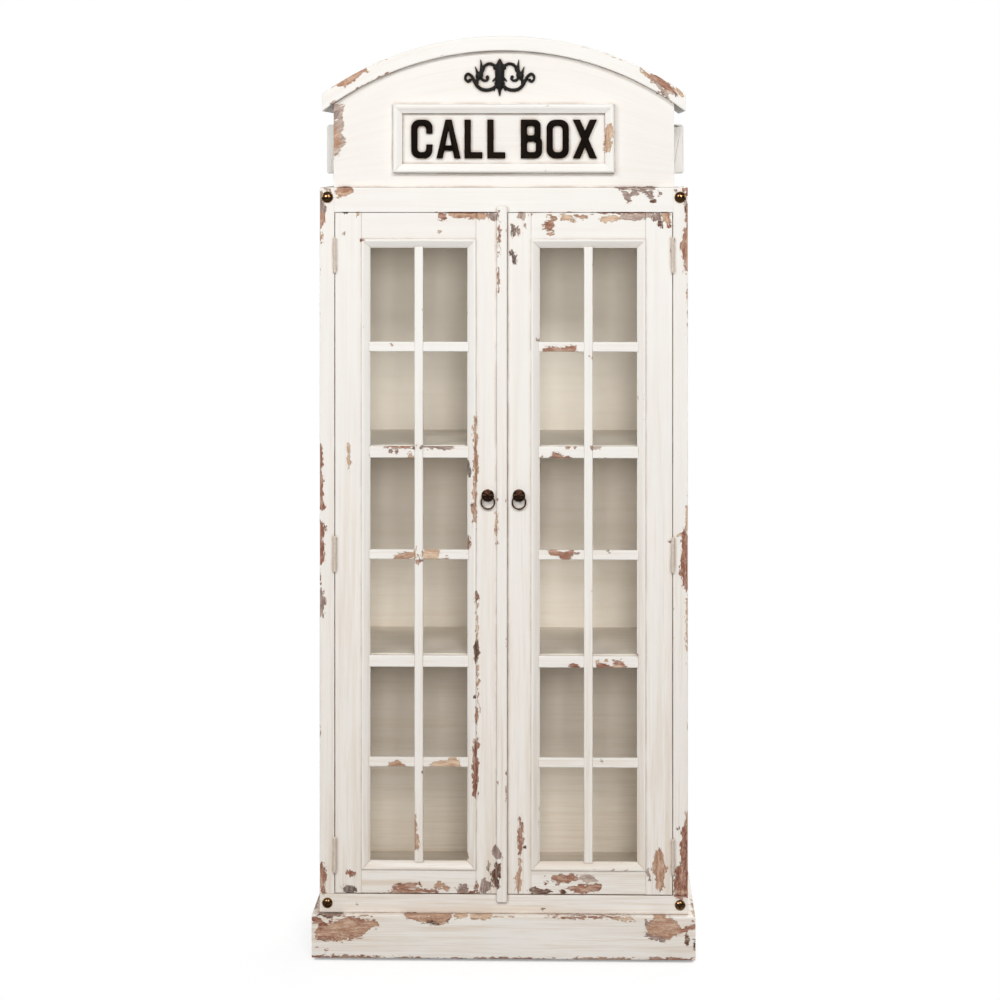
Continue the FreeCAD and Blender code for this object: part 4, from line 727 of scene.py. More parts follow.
# pediment boards follow the arch
RO, TH = 650.0, 30.0
ZC = 1900.0 - RO
RI = RO - TH


def arch_top(p, z0, ztop):
    q = p.copy()
    top = ZC + np.sqrt(RI * RI - p[:, 0] ** 2)
    q[:, 2] = z0 + (p[:, 2] - z0) / (ztop - z0) * (top - z0)
    return q


for nm in ("pediment_front", "pediment_back"):
    lo, hi = nbox(nm)
    board(nm, "x", r=1.4, step=9, along=4.5, dense=4.5, edge=0.55, front=nm == "pediment_front", cham=0.6,
          mat=PAINT if nm == "pediment_front" else REAR, broad=0.0 if nm == "pediment_front" else 0.8,
          warp=lambda p, a=lo[2], b=hi[2]: arch_top(p, a, b))
for nm in ("pediment_side_left", "pediment_side_right"):
    lo, hi = nbox(nm)
    board(nm, "y", r=1.2, step=7, along=7, edge=1.0, broad=0.85,
          warp=lambda p, a=lo[2], b=hi[2]: arch_top(p, a, b))

# arched roof: a flat board bent to the arch, ends cut plumb
lo, hi = nbox("arched_roof")
HALF = hi[0]


def bend(p):
    r = RO - TH + p[:, 2]
    a = (p[:, 0] / HALF) * np.arcsin(np.clip(HALF / r, -1, 1))
    return np.stack([r * np.sin(a), p[:, 1], ZC + r * np.cos(a)], 1)


depth = hi[1] - lo[1]
lp = loop([(lo[1], 0), (hi[1], 0), (hi[1], TH), (lo[1], TH)], 2.6, 9.0, dense=(0, float(lo[1]), 3.2))
roof = sweep(Part(), lp, np.array([-HALF, 0, 0]), X, Y, Z, 2 * HALF, 3.6, cham=1.0)
pn = np.concatenate(roof.n)
px_ = np.concatenate(roof.p)[:, 0] / HALF * math.asin(HALF / RO)
roof.n = [np.stack([pn[:, 0] * np.cos(px_) + pn[:, 2] * np.sin(px_), pn[:, 1], pn[:, 2] * np.cos(px_) - pn[:, 0] * np.sin(px_)], 1)]
finish_piece(roof, "arched_roof_board", "cabinet", ["arched_roof"], SLOT_OF["arched_roof"], PAINT, warp=bend, edge=0.75, broad=0.5)

# ------------------------------------------------------------------ sign


def frame_sticks(node, profile, radii, base_y, name, step=7.0, **kw):
    lo, hi = nbox(node)
    x0, x1, z0, z1 = lo[0], hi[0], lo[2], hi[2]
    lp = loop(profile, radii, 4.0, fine=2.0)
    part = Part()
    for O, L, U, length in (((x0, base_y, z0), X, Z, x1 - x0), ((x1, base_y, z0), Z, -X, z1 - z0),
                            ((x1, base_y, z1), -X, -Z, x1 - x0), ((x0, base_y, z1), -Z, X, z1 - z0)):
        sweep(part, lp, np.array(O), L, U, -Y, length, step, 1.0, 1.0, cham=0.25)
    return finish_piece(part, name, BODY_OF[node], [node], SLOT_OF[node], PAINT, **kw)


PY = nbox("pediment_front")[0][1]
frame_sticks("sign_frame", [(0, 0), (0, 12), (1.5, 15.5), (4, 17), (8, 16.6), (17, 12), (18.5, 11.4), (19, 11), (19, 0)],
             [0.2, 1, 1, 1, 1, 1, 0.5, 0.4, 0.2], PY, "sign_frame_sticks", edge=0.55)
board("sign_board", "x", r=0.4, step=8, along=8, edge=0.1)

# side sign blocks
for i, (sgn, tag) in enumerate(((-1, "left"), (1, "right"))):
    lo, hi = nbox("side_sign_blocks")
    xa, xb = (lo[0], lo[0] + 23.0) if sgn < 0 else (hi[0] - 23.0, hi[0])
    rr = [6.5, 0.4, 0.4, 6.5] if sgn < 0 else [0.4, 6.5, 6.5, 0.4]
    lp = loop([(xa, lo[2]), (xb, lo[2]), (xb, hi[2]), (xa, hi[2])], rr, 6.0, arc=5)
    part = Part()
    # swept front to back, with rounded ends
    uvs, cdx, nnx = lp
    length = hi[1] - lo[1]
    rings = [(0.0, 5.0), (0.6, 2.6), (1.9, 0.9), (4.2, 0.0)]
    stops = rings + [(l, 0.0) for l in np.arange(12.0, length - 8.0, 8.0)] + [(length - a, b) for a, b in rings[::-1]]
    P, N, C, G = [], [], [], []
    m = len(uvs)
    for k, (l, inset) in enumerate(stops):
        q = uvs - nnx * inset
        # the face against the pediment stays flat
        if sgn < 0:
            q[:, 0] = np.where(uvs[:, 0] > xb - 0.6, xb, q[:, 0])
        else:
            q[:, 0] = np.where(uvs[:, 0] < xa + 0.6, xa, q[:, 0])
        P.append(np.stack([q[:, 0], np.full(m, lo[1] + l), q[:, 1]], 1))
        N.append(np.stack([nnx[:, 0], np.full(m, -0.7 if l < 3 else (0.7 if l > length - 3 else 0.0)), nnx[:, 1]], 1))
        C.append(np.minimum(cdx, min(l, length - l)))
        G.append(np.stack([np.full(m, l), q[:, 0], q[:, 1]], 1))
    faces = []
    for k in range(len(stops) - 1):
        for j in range(m):
            j2 = (j + 1) % m
            faces.append((k * m + j, (k + 1) * m + j, (k + 1) * m + j2, k * m + j2))
    faces.append(tuple(range(m)))
    faces.append(tuple((len(stops) - 1) * m + j for j in range(m))[::-1])
    part.add(np.concatenate(P), np.concatenate(N), np.concatenate(C), np.concatenate(G), faces)
    finish_piece(part, "side_sign_" + tag, "cabinet", ["side_sign_blocks"], SLOT_OF["side_sign_blocks"], PAINT, edge=0.5, broad=0.3,
                 wavy=0.4)


def from_node(node, name, mat, bevel=0.0006, segments=2, angle=30.0, body=None):
    """A cleaned copy of a node's own shape with rounded edges."""
    src = frame["nodes"][node].data
    bm = bmesh.new()
    bm.from_mesh(src)
    bmesh.ops.remove_doubles(bm, verts=bm.verts, dist=1e-6)
    bmesh.ops.dissolve_limit(bm, angle_limit=math.radians(1.0), verts=bm.verts, edges=bm.edges)
    sharp = [e for e in bm.edges if len(e.link_faces) == 2 and e.calc_face_angle(0.0) > math.radians(angle)]
    bmesh.ops.bevel(bm, geom=sharp, offset=bevel, offset_type="OFFSET", segments=segments, profile=0.5, affect="EDGES",
                    clamp_overlap=True)
    bmesh.ops.recalc_face_normals(bm, faces=bm.faces)
    me = bpy.data.meshes.new(name)
    bm.to_mesh(me)
    bm.free()
    return add_object(me, name, BODY_OF[node], [node], mat, 40.0)


from_node("sign_letters", "sign_letters_raised", LETTER, bevel=0.0009)

# ------------------------------------------------------------------ cast ornament


def catmull(points, per=10):
    pts = [np.array(p, float) for p in points]
    out = []
    for i in range(len(pts) - 1):
        p0, p1, p2, p3 = pts[max(i - 1, 0)], pts[i], pts[i + 1], pts[min(i + 2, len(pts) - 1)]
        for k in range(per):
            s = k / per
            out.append(0.5 * (2 * p1 + (p2 - p0) * s + (2 * p0 - 5 * p1 + 4 * p2 - p3) * s * s
                              + (3 * p1 - p0 - 3 * p2 + p3) * s ** 3))
    out.append(pts[-1])
    return np.array(out)


def tube(bm, line, r0, r1, y, flat=0.8, seg=10, mid=None):
    """A rod in the x-z plane, lying at depth y, flattened front to back."""
    n = len(line)
    rings = []
    for i in range(n):
        a, b = line[max(i - 1, 0)], line[min(i + 1, n - 1)]
        d = (b - a) / max(np.linalg.norm(b - a), 1e-9)
        nrm = np.array([-d[1], d[0]])
        s = i / (n - 1)
        r = r0 + (r1 - r0) * s
        if mid is not None:
            r += (mid - 0.5 * (r0 + r1)) * math.sin(math.pi * s)
        ring = []
        for k in range(seg):
            t = 2 * math.pi * k / seg
            c = line[i] + nrm * r * math.cos(t)
            ring.append(bm.verts.new((c[0] * 0.001, (y + r * flat * math.sin(t)) * 0.001, c[1] * 0.001)))
        rings.append(ring)
    for i in range(n - 1):
        for k in range(seg):
            bm.faces.new((rings[i][k], rings[i][(k + 1) % seg], rings[i + 1][(k + 1) % seg], rings[i + 1][k]))
    bm.faces.new(rings[0][::-1])
    bm.faces.new(rings[-1])


def blob(bm, cx, y, cz, rx, ry, rz, turn=0.0):
    made = bmesh.ops.create_uvsphere(bm, u_segments=16, v_segments=10, radius=0.001)
    c, s = math.cos(turn), math.sin(turn)
    for v in made["verts"]:
        a, b, d = v.co.x * rx, v.co.y * ry, v.co.z * rz
        v.co = Vector((cx * 0.001 + c * a - s * d, y * 0.001 + b, cz * 0.001 + s * a + c * d))


lo, hi = nbox("scroll_ornament")
OC = (lo[0] + hi[0]) / 2
OZ0, OZ1 = lo[2], hi[2]
OY = hi[1]
bm = bmesh.new()
for s in (-1, 1):
    def sx(pts):
        return [(OC + s * a, b) for a, b in pts]
    # upper scroll, springing from the shoulder over and curling in
    tube(bm, catmull(sx([(9, 1838), (18, 1843), (28, 1841), (36, 1832), (39.5, 1820), (36, 1810.5), (28.5, 1808.5), (24, 1812.5),
                         (26, 1817.5)])), 3.3, 2.3, OY - 3.2, 0.85, mid=3.1)
    blob(bm, OC + s * 25.5, OY - 3.4, 1815.5, 3.9, 2.8, 3.9)
    # lower arm, sweeping out and up to the outer curl
    tube(bm, catmull(sx([(6, 1799), (14, 1792), (26, 1788.8), (38, 1790.8), (47, 1798), (52.5, 1808), (58, 1817.5), (65, 1822.0),
                         (70.2, 1817.9), (70.3, 1811), (65.5, 1806), (60.5, 1808.5)])), 3.8, 2.2, OY - 3.0, 0.85, mid=3.5)
    blob(bm, OC + s * 61.5, OY - 3.2, 1809.2, 3.6, 2.8, 3.6)
    # leaves and spikes where the scrolls meet
    tube(bm, catmull(sx([(39, 1820), (37.6, 1832), (38.2, 1843), (39.6, 1851.8)])), 5.0, 0.8, OY - 3.0, 0.7)
    tube(bm, catmull(sx([(42, 1814), (46.0, 1824), (48.0, 1830), (50.5, 1837.5)])), 4.6, 0.8, OY - 3.0, 0.7)
    tube(bm, catmull(sx([(38, 1824), (32.5, 1831), (30.5, 1838.5)])), 3.2, 0.8, OY - 3.8, 0.8)
    blob(bm, OC + s * 42.0, OY - 3.6, 1819.0, 8.0, 3.4, 9.0, s * 0.5)
    blob(bm, OC + s * 39.5, OY - 5.4, 1821.0, 2.2, 1.6, 7.0, s * 0.1)
    tube(bm, catmull(sx([(41, 1816), (46.5, 1809), (50.5, 1801)])), 4.0, 3.0, OY - 3.0, 0.85)
    blob(bm, OC + s * 48.0, OY - 3.0, 1803.5, 4.8, 2.8, 4.8)
    # small leaves at the foot of the middle leaf
    tube(bm, catmull(sx([(5, 1799), (9.5, 1793), (11.5, 1786.5)])), 3.4, 0.9, OY - 2.6, 0.9)
    # lobes of the middle leaf
    blob(bm, OC + s * 7.0, OY - 3.2, 1837.5, 8.4, 3.0, 4.6, -s * 0.8)
    blob(bm, OC + s * 4.6, OY - 3.4, 1827.0, 5.6, 3.0, 8.0, s * 0.15)
    tube(bm, catmull(sx([(3, 1814), (9, 1811.5), (15.5, 1806.5)])), 6.0, 0.9, OY - 3.2, 0.55)
    blob(bm, OC + s * 5.0, OY - 3.2, 1802.0, 6.4, 2.6, 5.5, s * 0.5)
    # veins raised on the leaf
    tube(bm, catmull(sx([(1.5, 1812), (7, 1810.5), (12, 1808)])), 1.1, 0.7, OY - 6.0, 0.9, seg=8)
    tube(bm, catmull(sx([(1.5, 1824), (6, 1830), (9.5, 1837)])), 1.1, 0.7, OY - 6.0, 0.9, seg=8)
tube(bm, catmull([(OC, 1853.4), (OC, 1846), (OC, 1834), (OC, 1818), (OC, 1802), (OC, 1790)]), 0.9, 5.2, OY - 3.6, 0.62, mid=9.6)
tube(bm, catmull([(OC, 1797), (OC, 1788), (OC, 1781), (OC, 1776.4)]), 5.2, 1.0, OY - 3.4, 0.65)
blob(bm, OC, OY - 3.2, 1841.0, 7.0, 3.0, 8.0)
blob(bm, OC, OY - 5.6, 1822.0, 2.6, 2.0, 15.0)
bmesh.ops.recalc_face_normals(bm, faces=bm.faces)
me = bpy.data.meshes.new("cast_raw")
bm.to_mesh(me)
bm.free()
raw = bpy.data.objects.new("cast_raw", me)
bpy.context.scene.collection.objects.link(raw)
rm = raw.modifiers.new("join", "REMESH")
rm.mode = "VOXEL"
rm.voxel_size = 0.00055
sm = raw.modifiers.new("soft", "SMOOTH")
sm.iterations = 2
dg = bpy.context.evaluated_depsgraph_get()
me = bpy.data.meshes.new_from_object(raw.evaluated_get(dg))
bpy.data.objects.remove(raw)
co = np.zeros(len(me.vertices) * 3)
me.vertices.foreach_get("co", co)
co = co.reshape(-1, 3) * 1000.0
nr = np.zeros(len(me.vertices) * 3)
me.vertices.foreach_get("normal", nr)
nr = nr.reshape(-1, 3)
co += nr * ((fbm(co, 2.2, 77, 3) - 0.5) * 0.5)[:, None]
co[:, 1] = np.minimum(co[:, 1], OY - 0.02)
me.vertices.foreach_set("co", (co * 0.001).ravel())
me.update()
me.name = "scroll_ornament_cast"
add_object(me, "scroll_ornament_cast", "cabinet", ["scroll_ornament"], IRON, 60.0)

# ------------------------------------------------------------------ turned metal


def turned(name, profile, centre, seg, dents=0.0, facets=0, seed=1, cut=None):
    """Turned shape about an axis that points to the front. profile is (radius, distance out from the face)."""
    bm = bmesh.new()
    rings = []
    for r, d in profile:
        if r < 1e-6:
            rings.append([bm.verts.new((centre[0], centre[1] - d, centre[2]))])
            continue
        ring = []
        for k in range(seg):
            a = 2 * math.pi * k / seg
            ring.append(bm.verts.new((centre[0] + r * math.cos(a), centre[1] - d, centre[2] + r * math.sin(a))))
        rings.append(ring)
    for a, b in zip(rings, rings[1:]):
        if len(a) == 1 and len(b) > 1:
            for k in range(seg):
                bm.faces.new((a[0], b[k], b[(k + 1) % seg]))
        elif len(b) == 1 and len(a) > 1:
            for k in range(seg):
                bm.faces.new((a[k], b[0], a[(k + 1) % seg]))
        else:
            for k in range(seg):
                bm.faces.new((a[k], b[k], b[(k + 1) % seg], a[(k + 1) % seg]))
    bmesh.ops.recalc_face_normals(bm, faces=bm.faces)
    bm.verts.ensure_lookup_table()
    pts = np.array([v.co[:] for v in bm.verts])
    rel = pts - np.array(centre)
    rad = np.hypot(rel[:, 0], rel[:, 2])
    ang = np.arctan2(rel[:, 2], rel[:, 0])
    top = max(d for _, d in profile)
    head = np.clip((-rel[:, 1] - (top - 6.0)) / 2.0, 0, 1)
    push = np.zeros(len(pts))
    if facets:
        w = np.clip(rad / 3.0, 0, 1) * np.clip((15.0 - rad) / 4.0, 0, 1)
        push -= head * w * 1.05 * np.abs(np.sin(ang * facets / 2.0)) ** 0.7
        push -= head * 0.6 * np.exp(-((rad - 8.2) / 0.9) ** 2)
        push += head * 0.6 * np.exp(-(rad / 1.8) ** 2)
    push += head * (fbm(pts, 3.2, seed, 2) - 0.5) * dents
    for v, q, h in zip(bm.verts, pts, push):
        v.co = Vector((q[0] * 0.001, (q[1] - h) * 0.001, q[2] * 0.001))
    me = bpy.data.meshes.new(name)
    bm.to_mesh(me)
    bm.free()
    return me


def arc_profile(radius, base, height, steps):
    """Dome profile from the rim to the middle."""
    R = (radius * radius + height * height) / (2 * height)
    out = []
    for k in range(steps + 1):
        a = math.asin(radius / R) * (1 - k / steps)
        out.append((R * math.sin(a) if k < steps else 0.0, base + R * math.cos(a) - (R - height)))
    return out


FACE = -182.0
studs = Part()
slo, shi = nbox("corner_studs")
stud_meshes = []
for i, (x, z, r, h) in enumerate(((-363, 1568, 12.0, 6.5), (363, 1568, 12.0, 6.5), (-363, 114, 11.0, 6.0), (363, 114, 11.0, 6.0))):
    prof = [(0.0, -13.5), (1.4, -13.5), (1.4, -0.05), (r - 0.8, 0.0), (r, 0.3)] + arc_profile(r, 0.5, h - 0.5, 9)
    stud_meshes.append(turned("stud%d" % i, prof, (x, FACE, z), 36, dents=0.7, seed=40 + i))
bm = bmesh.new()
for me in stud_meshes:
    bm.from_mesh(me)
me = bpy.data.meshes.new("corner_studs_domed")
bm.to_mesh(me)
bm.free()
add_object(me, "corner_studs_domed", "cabinet", ["corner_studs"], BRONZE, 50.0)

for sgn, tag in ((-1, "left"), (1, "right")):
    cx = sgn * 32.0
    prof = [(0.0, -26.5), (2.5, -26.5), (2.5, -0.2), (8.4, -0.05), (9.0, 0.35), (8.6, 1.2), (7.4, 1.7), (6.0, 1.9), (5.9, 6.0), (6.0, 10.0),
            (9.0, 11.6), (12.0, 13.3), (12.9, 14.0)] + arc_profile(13.0, 14.6, 5.3, 12)
    me = turned("pull_boss_" + tag, prof, (cx, FACE, 956.0), 64, dents=0.35, facets=8, seed=60 + sgn)
    boss = bpy.data.objects.new("raw_boss", me)
    bpy.context.scene.collection.objects.link(boss)
    bm = bmesh.new()
    bmesh.ops.create_cone(bm, cap_ends=True, segments=28, radius1=0.0033, radius2=0.0033, depth=0.05)
    for v in bm.verts:
        v.co = Vector((v.co.z + cx * 0.001, v.co.x - 0.1878, v.co.y + 0.95475))
    eye_me = bpy.data.meshes.new("eye")
    bmesh.ops.recalc_face_normals(bm, faces=bm.faces)
    bm.to_mesh(eye_me)
    bm.free()
    eye = bpy.data.objects.new("eye", eye_me)
    bpy.context.scene.collection.objects.link(eye)
    bo = boss.modifiers.new("eye", "BOOLEAN")
    bo.operation = "DIFFERENCE"
    bo.object = eye
    bo.solver = "EXACT"
    dg = bpy.context.evaluated_depsgraph_get()
    done = bpy.data.meshes.new_from_object(boss.evaluated_get(dg))
    done.name = "pull_boss_%s_hammered" % tag
    bpy.data.objects.remove(boss)
    bpy.data.objects.remove(eye)
    add_object(done, "pull_boss_%s_hammered" % tag, "door_" + tag, ["pull_boss_" + tag], BOSS, 30.0)
    # ring
    bm = bmesh.new()
    rings = []
    A, B = 72, 16
    for i in range(A):
        a = 2 * math.pi * i / A
        ring = []
        for k in range(B):
            b = 2 * math.pi * k / B
            ring.append(bm.verts.new((cx + (13.75 + 1.72 * math.cos(b)) * math.sin(a), -187.8 + 1.72 * math.sin(b),
                                      941.0 + (13.75 + 1.72 * math.cos(b)) * math.cos(a))))
        rings.append(ring)
    for i in range(A):
        for k in range(B):
            bm.faces.new((rings[i][k], rings[i][(k + 1) % B], rings[(i + 1) % A][(k + 1) % B], rings[(i + 1) % A][k]))
    bmesh.ops.recalc_face_normals(bm, faces=bm.faces)
    pts = np.array([v.co[:] for v in bm.verts])
    rel = pts - np.array([cx, -187.8, 941.0])
    flat = np.stack([rel[:, 0], np.zeros(len(rel)), rel[:, 2]], 1)
    core = flat / np.linalg.norm(flat, axis=1)[:, None] * 13.75
    out = rel - core
    k = 1.0 + (fbm(pts, 2.6, 90 + sgn, 2) - 0.62) * 0.16
    pts = np.array([cx, -187.8, 941.0]) + core + out * np.minimum(k, 1.0)[:, None]
    for v, q in zip(bm.verts, pts):
        v.co = Vector(tuple(q * 0.001))
    me = bpy.data.meshes.new("pull_ring_%s_wire" % tag)
    bm.to_mesh(me)
    bm.free()
    add_object(me, "pull_ring_%s_wire" % tag, "ring_" + tag, ["pull_ring_" + tag], RING, 70.0)

# ------------------------------------------------------------------ doors
for sgn, tag in ((-1, "left"), (1, "right")):
    body = "door_" + tag
    for which in ("hinge", "closing"):
        nm = "door_%s_%s_stile" % (tag, which)
        lo, hi = nbox(nm)
        outer_low = (which == "hinge") == (sgn < 0)
        e, i = (lo[0], hi[0]) if outer_low else (hi[0], lo[0])
        k = 10.0 if outer_low else -10.0
        grow = 0.7 if which == "closing" else 0.5
        e += -grow if outer_low else grow
        eb = e if which == "hinge" else e + (1.1 if outer_low else -1.1)
        f, s, b = lo[1], hi[1] - 6.0, hi[1]
        shaped(nm, "z", [(e, f), (i - k, f), (i - k, s), (i, s), (i, b), (eb, b)], [1.0, 0.5, 0.2, 0.6, 0.8, 1.0],
               step=9.0, along=2.9, dense=2.9, edge=0.42, cham=0.3)
    for which in ("top", "bottom"):
        nm = "door_%s_%s_rail" % (tag, which)
        lo, hi = nbox(nm)
        f, s, b = lo[1], hi[1] - 6.0, hi[1]
        xa, xb = lo[0] + 20.0, hi[0] - 20.0
        z0, z1 = (lo[2] + 10.0, hi[2]) if which == "top" else (lo[2], hi[2] - 10.0)
        part = Part()
        sweep(part, loop([(f, z0), (s, z0), (s, z1), (f, z1)], [0.5, 0.2, 0.2, 1.2] if which == "top" else [1.2, 0.2, 0.2, 0.5], 9.0,
                         dense=(0, float(f), 2.9)), X * xa, X, Y, Z, xb - xa, 2.9, cham=0.8)
        sweep(part, loop([(s, lo[2]), (b, lo[2]), (b, hi[2]), (s, hi[2])], 0.5, 9.0), X * (xa + 10), X, Y, Z, xb - xa - 20, 9.0, cham=0.3)
        for x in (xa - 20.0, xb):
            sweep(part, loop([(f + 4, z0 + 8), (f + 12, z0 + 8), (f + 12, z1 - 8), (f + 4, z1 - 8)], 0.3, 9.0), X * x, X, Y, Z, 20.0, 9.0)
        finish_piece(part, nm + "_board", body, [nm], SLOT_OF[nm], PAINT, edge=0.42)
    nm = "door_%s_glazing_moulding" % tag
    lo, hi = nbox(nm)
    GY = hi[1]
    frame_sticks(nm, [(0, 0), (0, 13.2), (0.6, 14.4), (1.8, 15), (4.5, 15), (15.5, 8.6), (16.2, 7.6), (18, 7.2), (18, 0)],
                 [0.2, 0.8, 0.8, 0.8, 1.5, 1.0, 0.6, 0.5, 0.2], GY, nm + "_sticks", step=3.2, edge=0.5)
    nm = "door_%s_muntin_grid" % tag
    lo, hi = nbox(nm)
    mx = (lo[0] + hi[0]) / 2
    part = Part()
    yb, yf, yc = hi[1], lo[1], lo[1] + 2.0
    lap = 2.2

    def bar_section(a0, a1, f, r):
        return [(a0, f), (a1, f), (a1, yb), (a0, yb)], [r, r, 0.2, 0.2]

    poly, rr = bar_section(mx - 9, mx + 9, yf, 2.2)
    sweep(part, loop(poly, rr, 3.0, fine=1.8), Z * (lo[2] - lap), Z, X, Y, hi[2] - lo[2] + 2 * lap, 3.0, cham=0.8)
    for zc, th in ((1260, 20), (1043, 24), (832, 20), (612, 24), (404.5, 20)):
        poly = [(yc, zc - th / 2), (yb, zc - th / 2), (yb, zc + th / 2), (yc, zc + th / 2)]
        for x0, x1 in ((lo[0] - lap, mx - 9.0), (mx + 9.0, hi[0] + lap)):
            sweep(part, loop(poly, [2.0, 0.2, 0.2, 2.0], 3.0, fine=1.8), X * x0, X, Y, Z, x1 - x0, 2.9, cham=0.1)
    finish_piece(part, nm + "_bars", body, [nm], SLOT_OF[nm], BARS, edge=0.5, chip=0.8)
    frame["nodes"]["door_%s_glass" % tag].data.materials.clear()
    frame["nodes"]["door_%s_glass" % tag].data.materials.append(GLASS)

lo, hi = nbox("astragal")
shaped("astragal", "z", [(lo[0], lo[1]), (hi[0] + 0.6, lo[1]), (hi[0] + 0.6, hi[1]), (lo[0], hi[1])], [4.0, 4.0, 0.3, 0.3], step=3.0, along=3.0,
       edge=0.55, cham=1.0)

# ------------------------------------------------------------------ fittings that keep their own shape
KEEP = {
    "hinge_post_leaves": HINGE, "hinge_door_leaves_left": HINGE, "hinge_door_leaves_right": HINGE, "hinge_pins": HINGE,
    "hinge_post_screws": STEEL, "hinge_door_screws_left": STEEL, "hinge_door_screws_right": STEEL,
    "strike_plate_left": STEEL, "strike_plate_right": STEEL, "pull_nut_left": STEEL, "pull_nut_right": STEEL,
    "magnet_catches": STEEL, "floor_glides": PLASTIC, "plinth_corner_blocks": BARE, "shelf_cleats": BARE,
}
for nm, mat in KEEP.items():
    o = frame["nodes"][nm]
    o.data.materials.clear()
    o.data.materials.append(mat)
    if nm not in ("hinge_pins", "floor_glides") and "screws" not in nm:
        bv = o.modifiers.new("ease", "BEVEL")
        bv.width = 0.0003 if nm.startswith(("hinge", "strike", "pull", "magnet")) else 0.0012
        bv.segments = 2
        bv.limit_method = "ANGLE"
        bv.angle_limit = math.radians(40)

# ------------------------------------------------------------------ stage
bm = bmesh.new()
bmesh.ops.create_circle(bm, cap_ends=True, segments=96, radius=40.0)
me = bpy.data.meshes.new("floor")
bm.to_mesh(me)
bm.free()
m, t = new_mat("floor_pale")
n = Net(t)
co = n.node("ShaderNodeTexCoord").outputs["Object"]
a = n.noise(co, 3.0, 4.0, 0.5)
bs = n.node("ShaderNodeBsdfPrincipled")
lpc = n.node("ShaderNodeLightPath").outputs["Is Camera Ray"]
n.put(bs.inputs["Base Color"], n.mix(lpc, n.mix(a, (0.26, 0.257, 0.254), (0.30, 0.297, 0.294)), (1.0, 1.0, 1.0)))
bs.inputs["Roughness"].default_value = 0.85
bs.inputs["Specular IOR Level"].default_value = 0.1
glow = n.node("ShaderNodeEmission")
lp_ = n.node("ShaderNodeLightPath")
pos = n.node("ShaderNodeNewGeometry").outputs["Position"]
ln = n.node("ShaderNodeVectorMath", operation="LENGTH")
n.put(ln.inputs[0], n.scale(pos, (1.0, 1.4, 0.0)))
close = n.ramp(ln.outputs["Value"], 0.30, 0.95, 1.0, 0.0)
px_py = n.node("ShaderNodeSeparateXYZ")
t.links.new(pos, px_py.inputs[0])
under = n.math("MULTIPLY", n.math("LESS_THAN", n.math("ABSOLUTE", px_py.outputs[0]), 0.390),
               n.math("LESS_THAN", n.math("ABSOLUTE", px_py.outputs[1]), 0.198))
seen = n.math("MULTIPLY", lp_.outputs["Is Camera Ray"], n.math("SUBTRACT", 1.0, n.math("MULTIPLY", close, 0.25)))
seen = n.math("MULTIPLY", seen, n.math("SUBTRACT", 1.0, n.math("MULTIPLY", under, 0.6)))
shade = n.node("ShaderNodeMixShader")
n.put(shade.inputs[0], seen)
t.links.new(bs.outputs[0], shade.inputs[1])
t.links.new(glow.outputs[0], shade.inputs[2])
out = n.node("ShaderNodeOutputMaterial")
t.links.new(shade.outputs[0], out.inputs[0])
me.materials.append(m)
floor = bpy.data.objects.new("floor", me)
bpy.context.scene.collection.objects.link(floor)

sc = bpy.context.scene
w = bpy.data.worlds.new("studio")
sc.world = w
w.use_nodes = True
t = w.node_tree
t.nodes.clear()
n = Net(t)
seen = n.node("ShaderNodeBackground")
seen.inputs[0].default_value = (1, 1, 1, 1)
seen.inputs[1].default_value = 1.0
lit = n.node("ShaderNodeBackground")
coords = n.node("ShaderNodeTexCoord").outputs["Generated"]
sep = n.node("ShaderNodeSeparateXYZ")
t.links.new(coords, sep.inputs[0])
up = n.ramp(sep.outputs[2], -0.2, 0.9, 0.0, 1.0)
n.put(lit.inputs[0], n.mix(up, (0.80, 0.77, 0.73), (1.0, 0.99, 0.97)))
n.put(lit.inputs[1], n.ramp(sep.outputs[2], -0.1, 0.8, 0.14, 0.30, smooth=False))
lpn = n.node("ShaderNodeLightPath")
mx_ = n.node("ShaderNodeMixShader")
t.links.new(lpn.outputs["Is Camera Ray"], mx_.inputs[0])
t.links.new(lit.outputs[0], mx_.inputs[1])
t.links.new(seen.outputs[0], mx_.inputs[2])
wo = n.node("ShaderNodeOutputWorld")
t.links.new(mx_.outputs[0], wo.inputs[0])


def area(name, loc, target, size, power, color=(1, 1, 1)):
    d = bpy.data.lights.new(name, "AREA")
    d.shape = "RECTANGLE"
    d.size, d.size_y = size
    d.energy = power
    d.color = color
    o = bpy.data.objects.new(name, d)
    sc.collection.objects.link(o)
    o.location = loc
    o.rotation_euler = (Vector(target) - Vector(loc)).to_track_quat("-Z", "Y").to_euler()
    return o


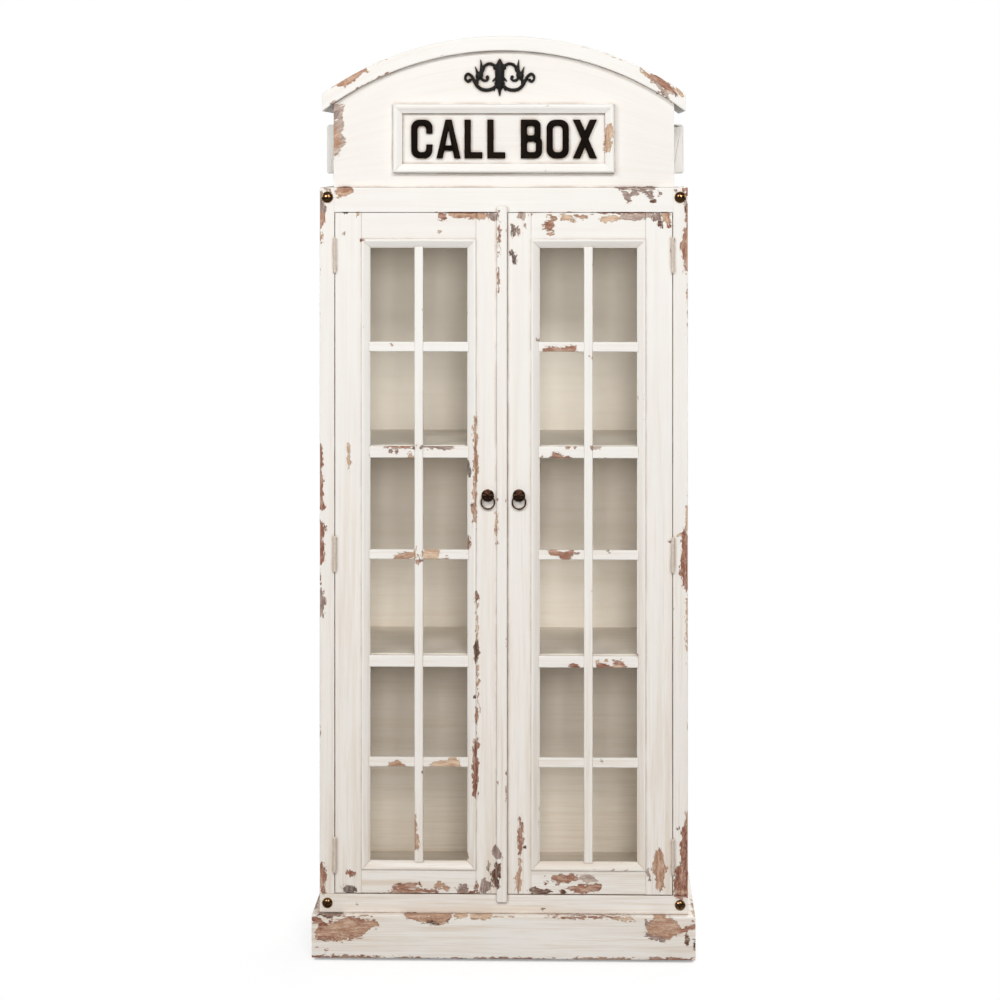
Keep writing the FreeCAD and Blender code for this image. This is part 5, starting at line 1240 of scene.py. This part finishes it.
area("key_left", (-2.6, -4.1, 3.5), (0.0, 0.0, 1.1), (1.2, 1.0), 80.0, (1.0, 0.995, 0.985))
area("key_right", (0.95, -4.6, 4.1), (0.0, 0.0, 1.1), (1.5, 1.2), 112.0, (1.0, 0.995, 0.985))
area("fill", (0.3, -5.8, 2.15), (0.0, 0.0, 1.2), (1.6, 1.2), 120.0, (1.0, 0.975, 0.945)).visible_glossy = False
inside = area("inside_fill", (0.15, -5.2, 1.25), (0.0, 0.1, 1.0), (1.4, 1.4), 38.0, (1.0, 0.955, 0.91))
inside.visible_glossy = False
lit_pieces = bpy.data.collections.new("inside_pieces")
for nm in ("back_panel", "shelf_upper", "shelf_lower", "cabinet_floor", "side_panel_left", "side_panel_right", "top_panel"):
    lit_pieces.objects.link(bpy.data.objects[nm + "_board"])
inside.light_linking.receiver_collection = lit_pieces
metal_pieces = bpy.data.collections.new("metal_pieces")
for nm in ("corner_studs_domed", "pull_boss_left_hammered", "pull_boss_right_hammered", "pull_ring_left_wire", "pull_ring_right_wire"):
    metal_pieces.objects.link(bpy.data.objects[nm])
for nm, place in (("spark_left", (-2.4, -4.4, 3.1)), ("spark_right", (1.9, -4.6, 3.3))):
    spark = area(nm, place, (0.0, 0.0, 1.0), (0.8, 0.8), 170.0, (1.0, 0.88, 0.68))
    spark.light_linking.receiver_collection = metal_pieces
area("rear", (1.5, 4.5, 3.2), (0.0, 0.0, 1.0), (2.6, 2.0), 150.0)
area("right_side", (4.4, 0.6, 2.6), (0.0, 0.0, 1.0), (2.2, 2.2), 70.0)
area("left_side", (-4.4, 0.6, 2.6), (0.0, 0.0, 1.0), (2.2, 2.2), 60.0)

# the camera stands in front and a little to the right, upright, with a raised lens
EYE, YAW, FOCAL = (0.147, -6.182, 1.655), math.radians(1.472), 2917.0
cam_data = bpy.data.cameras.new("camera")
cam = bpy.data.objects.new("camera", cam_data)
sc.collection.objects.link(cam)
cam_data.sensor_width = 36.0
cam_data.lens = FOCAL * 36.0 / 1000.0
cam.location = EYE
cam.rotation_euler = (math.radians(90.0), 0.0, YAW)
cam_data.clip_end = 100.0
# the lens shift holds only while the camera stands at its own place
drv = cam_data.driver_add("shift_y").driver
drv.type = "SCRIPTED"
for nm, ch in (("cx", "LOC_X"), ("cy", "LOC_Y"), ("cz", "LOC_Z")):
    v = drv.variables.new()
    v.name = nm
    v.type = "TRANSFORMS"
    v.targets[0].id = cam
    v.targets[0].transform_type = ch
    v.targets[0].transform_space = "WORLD_SPACE"
drv.expression = "-0.345 if abs(cx - 0.147) + abs(cy + 6.182) + abs(cz - 1.655) < 0.01 else 0.0"
sc.camera = cam

sc.view_settings.view_transform = "Standard"
sc.view_settings.look = "None"
sc.view_settings.exposure = 0.0
sc.view_settings.gamma = 1.0
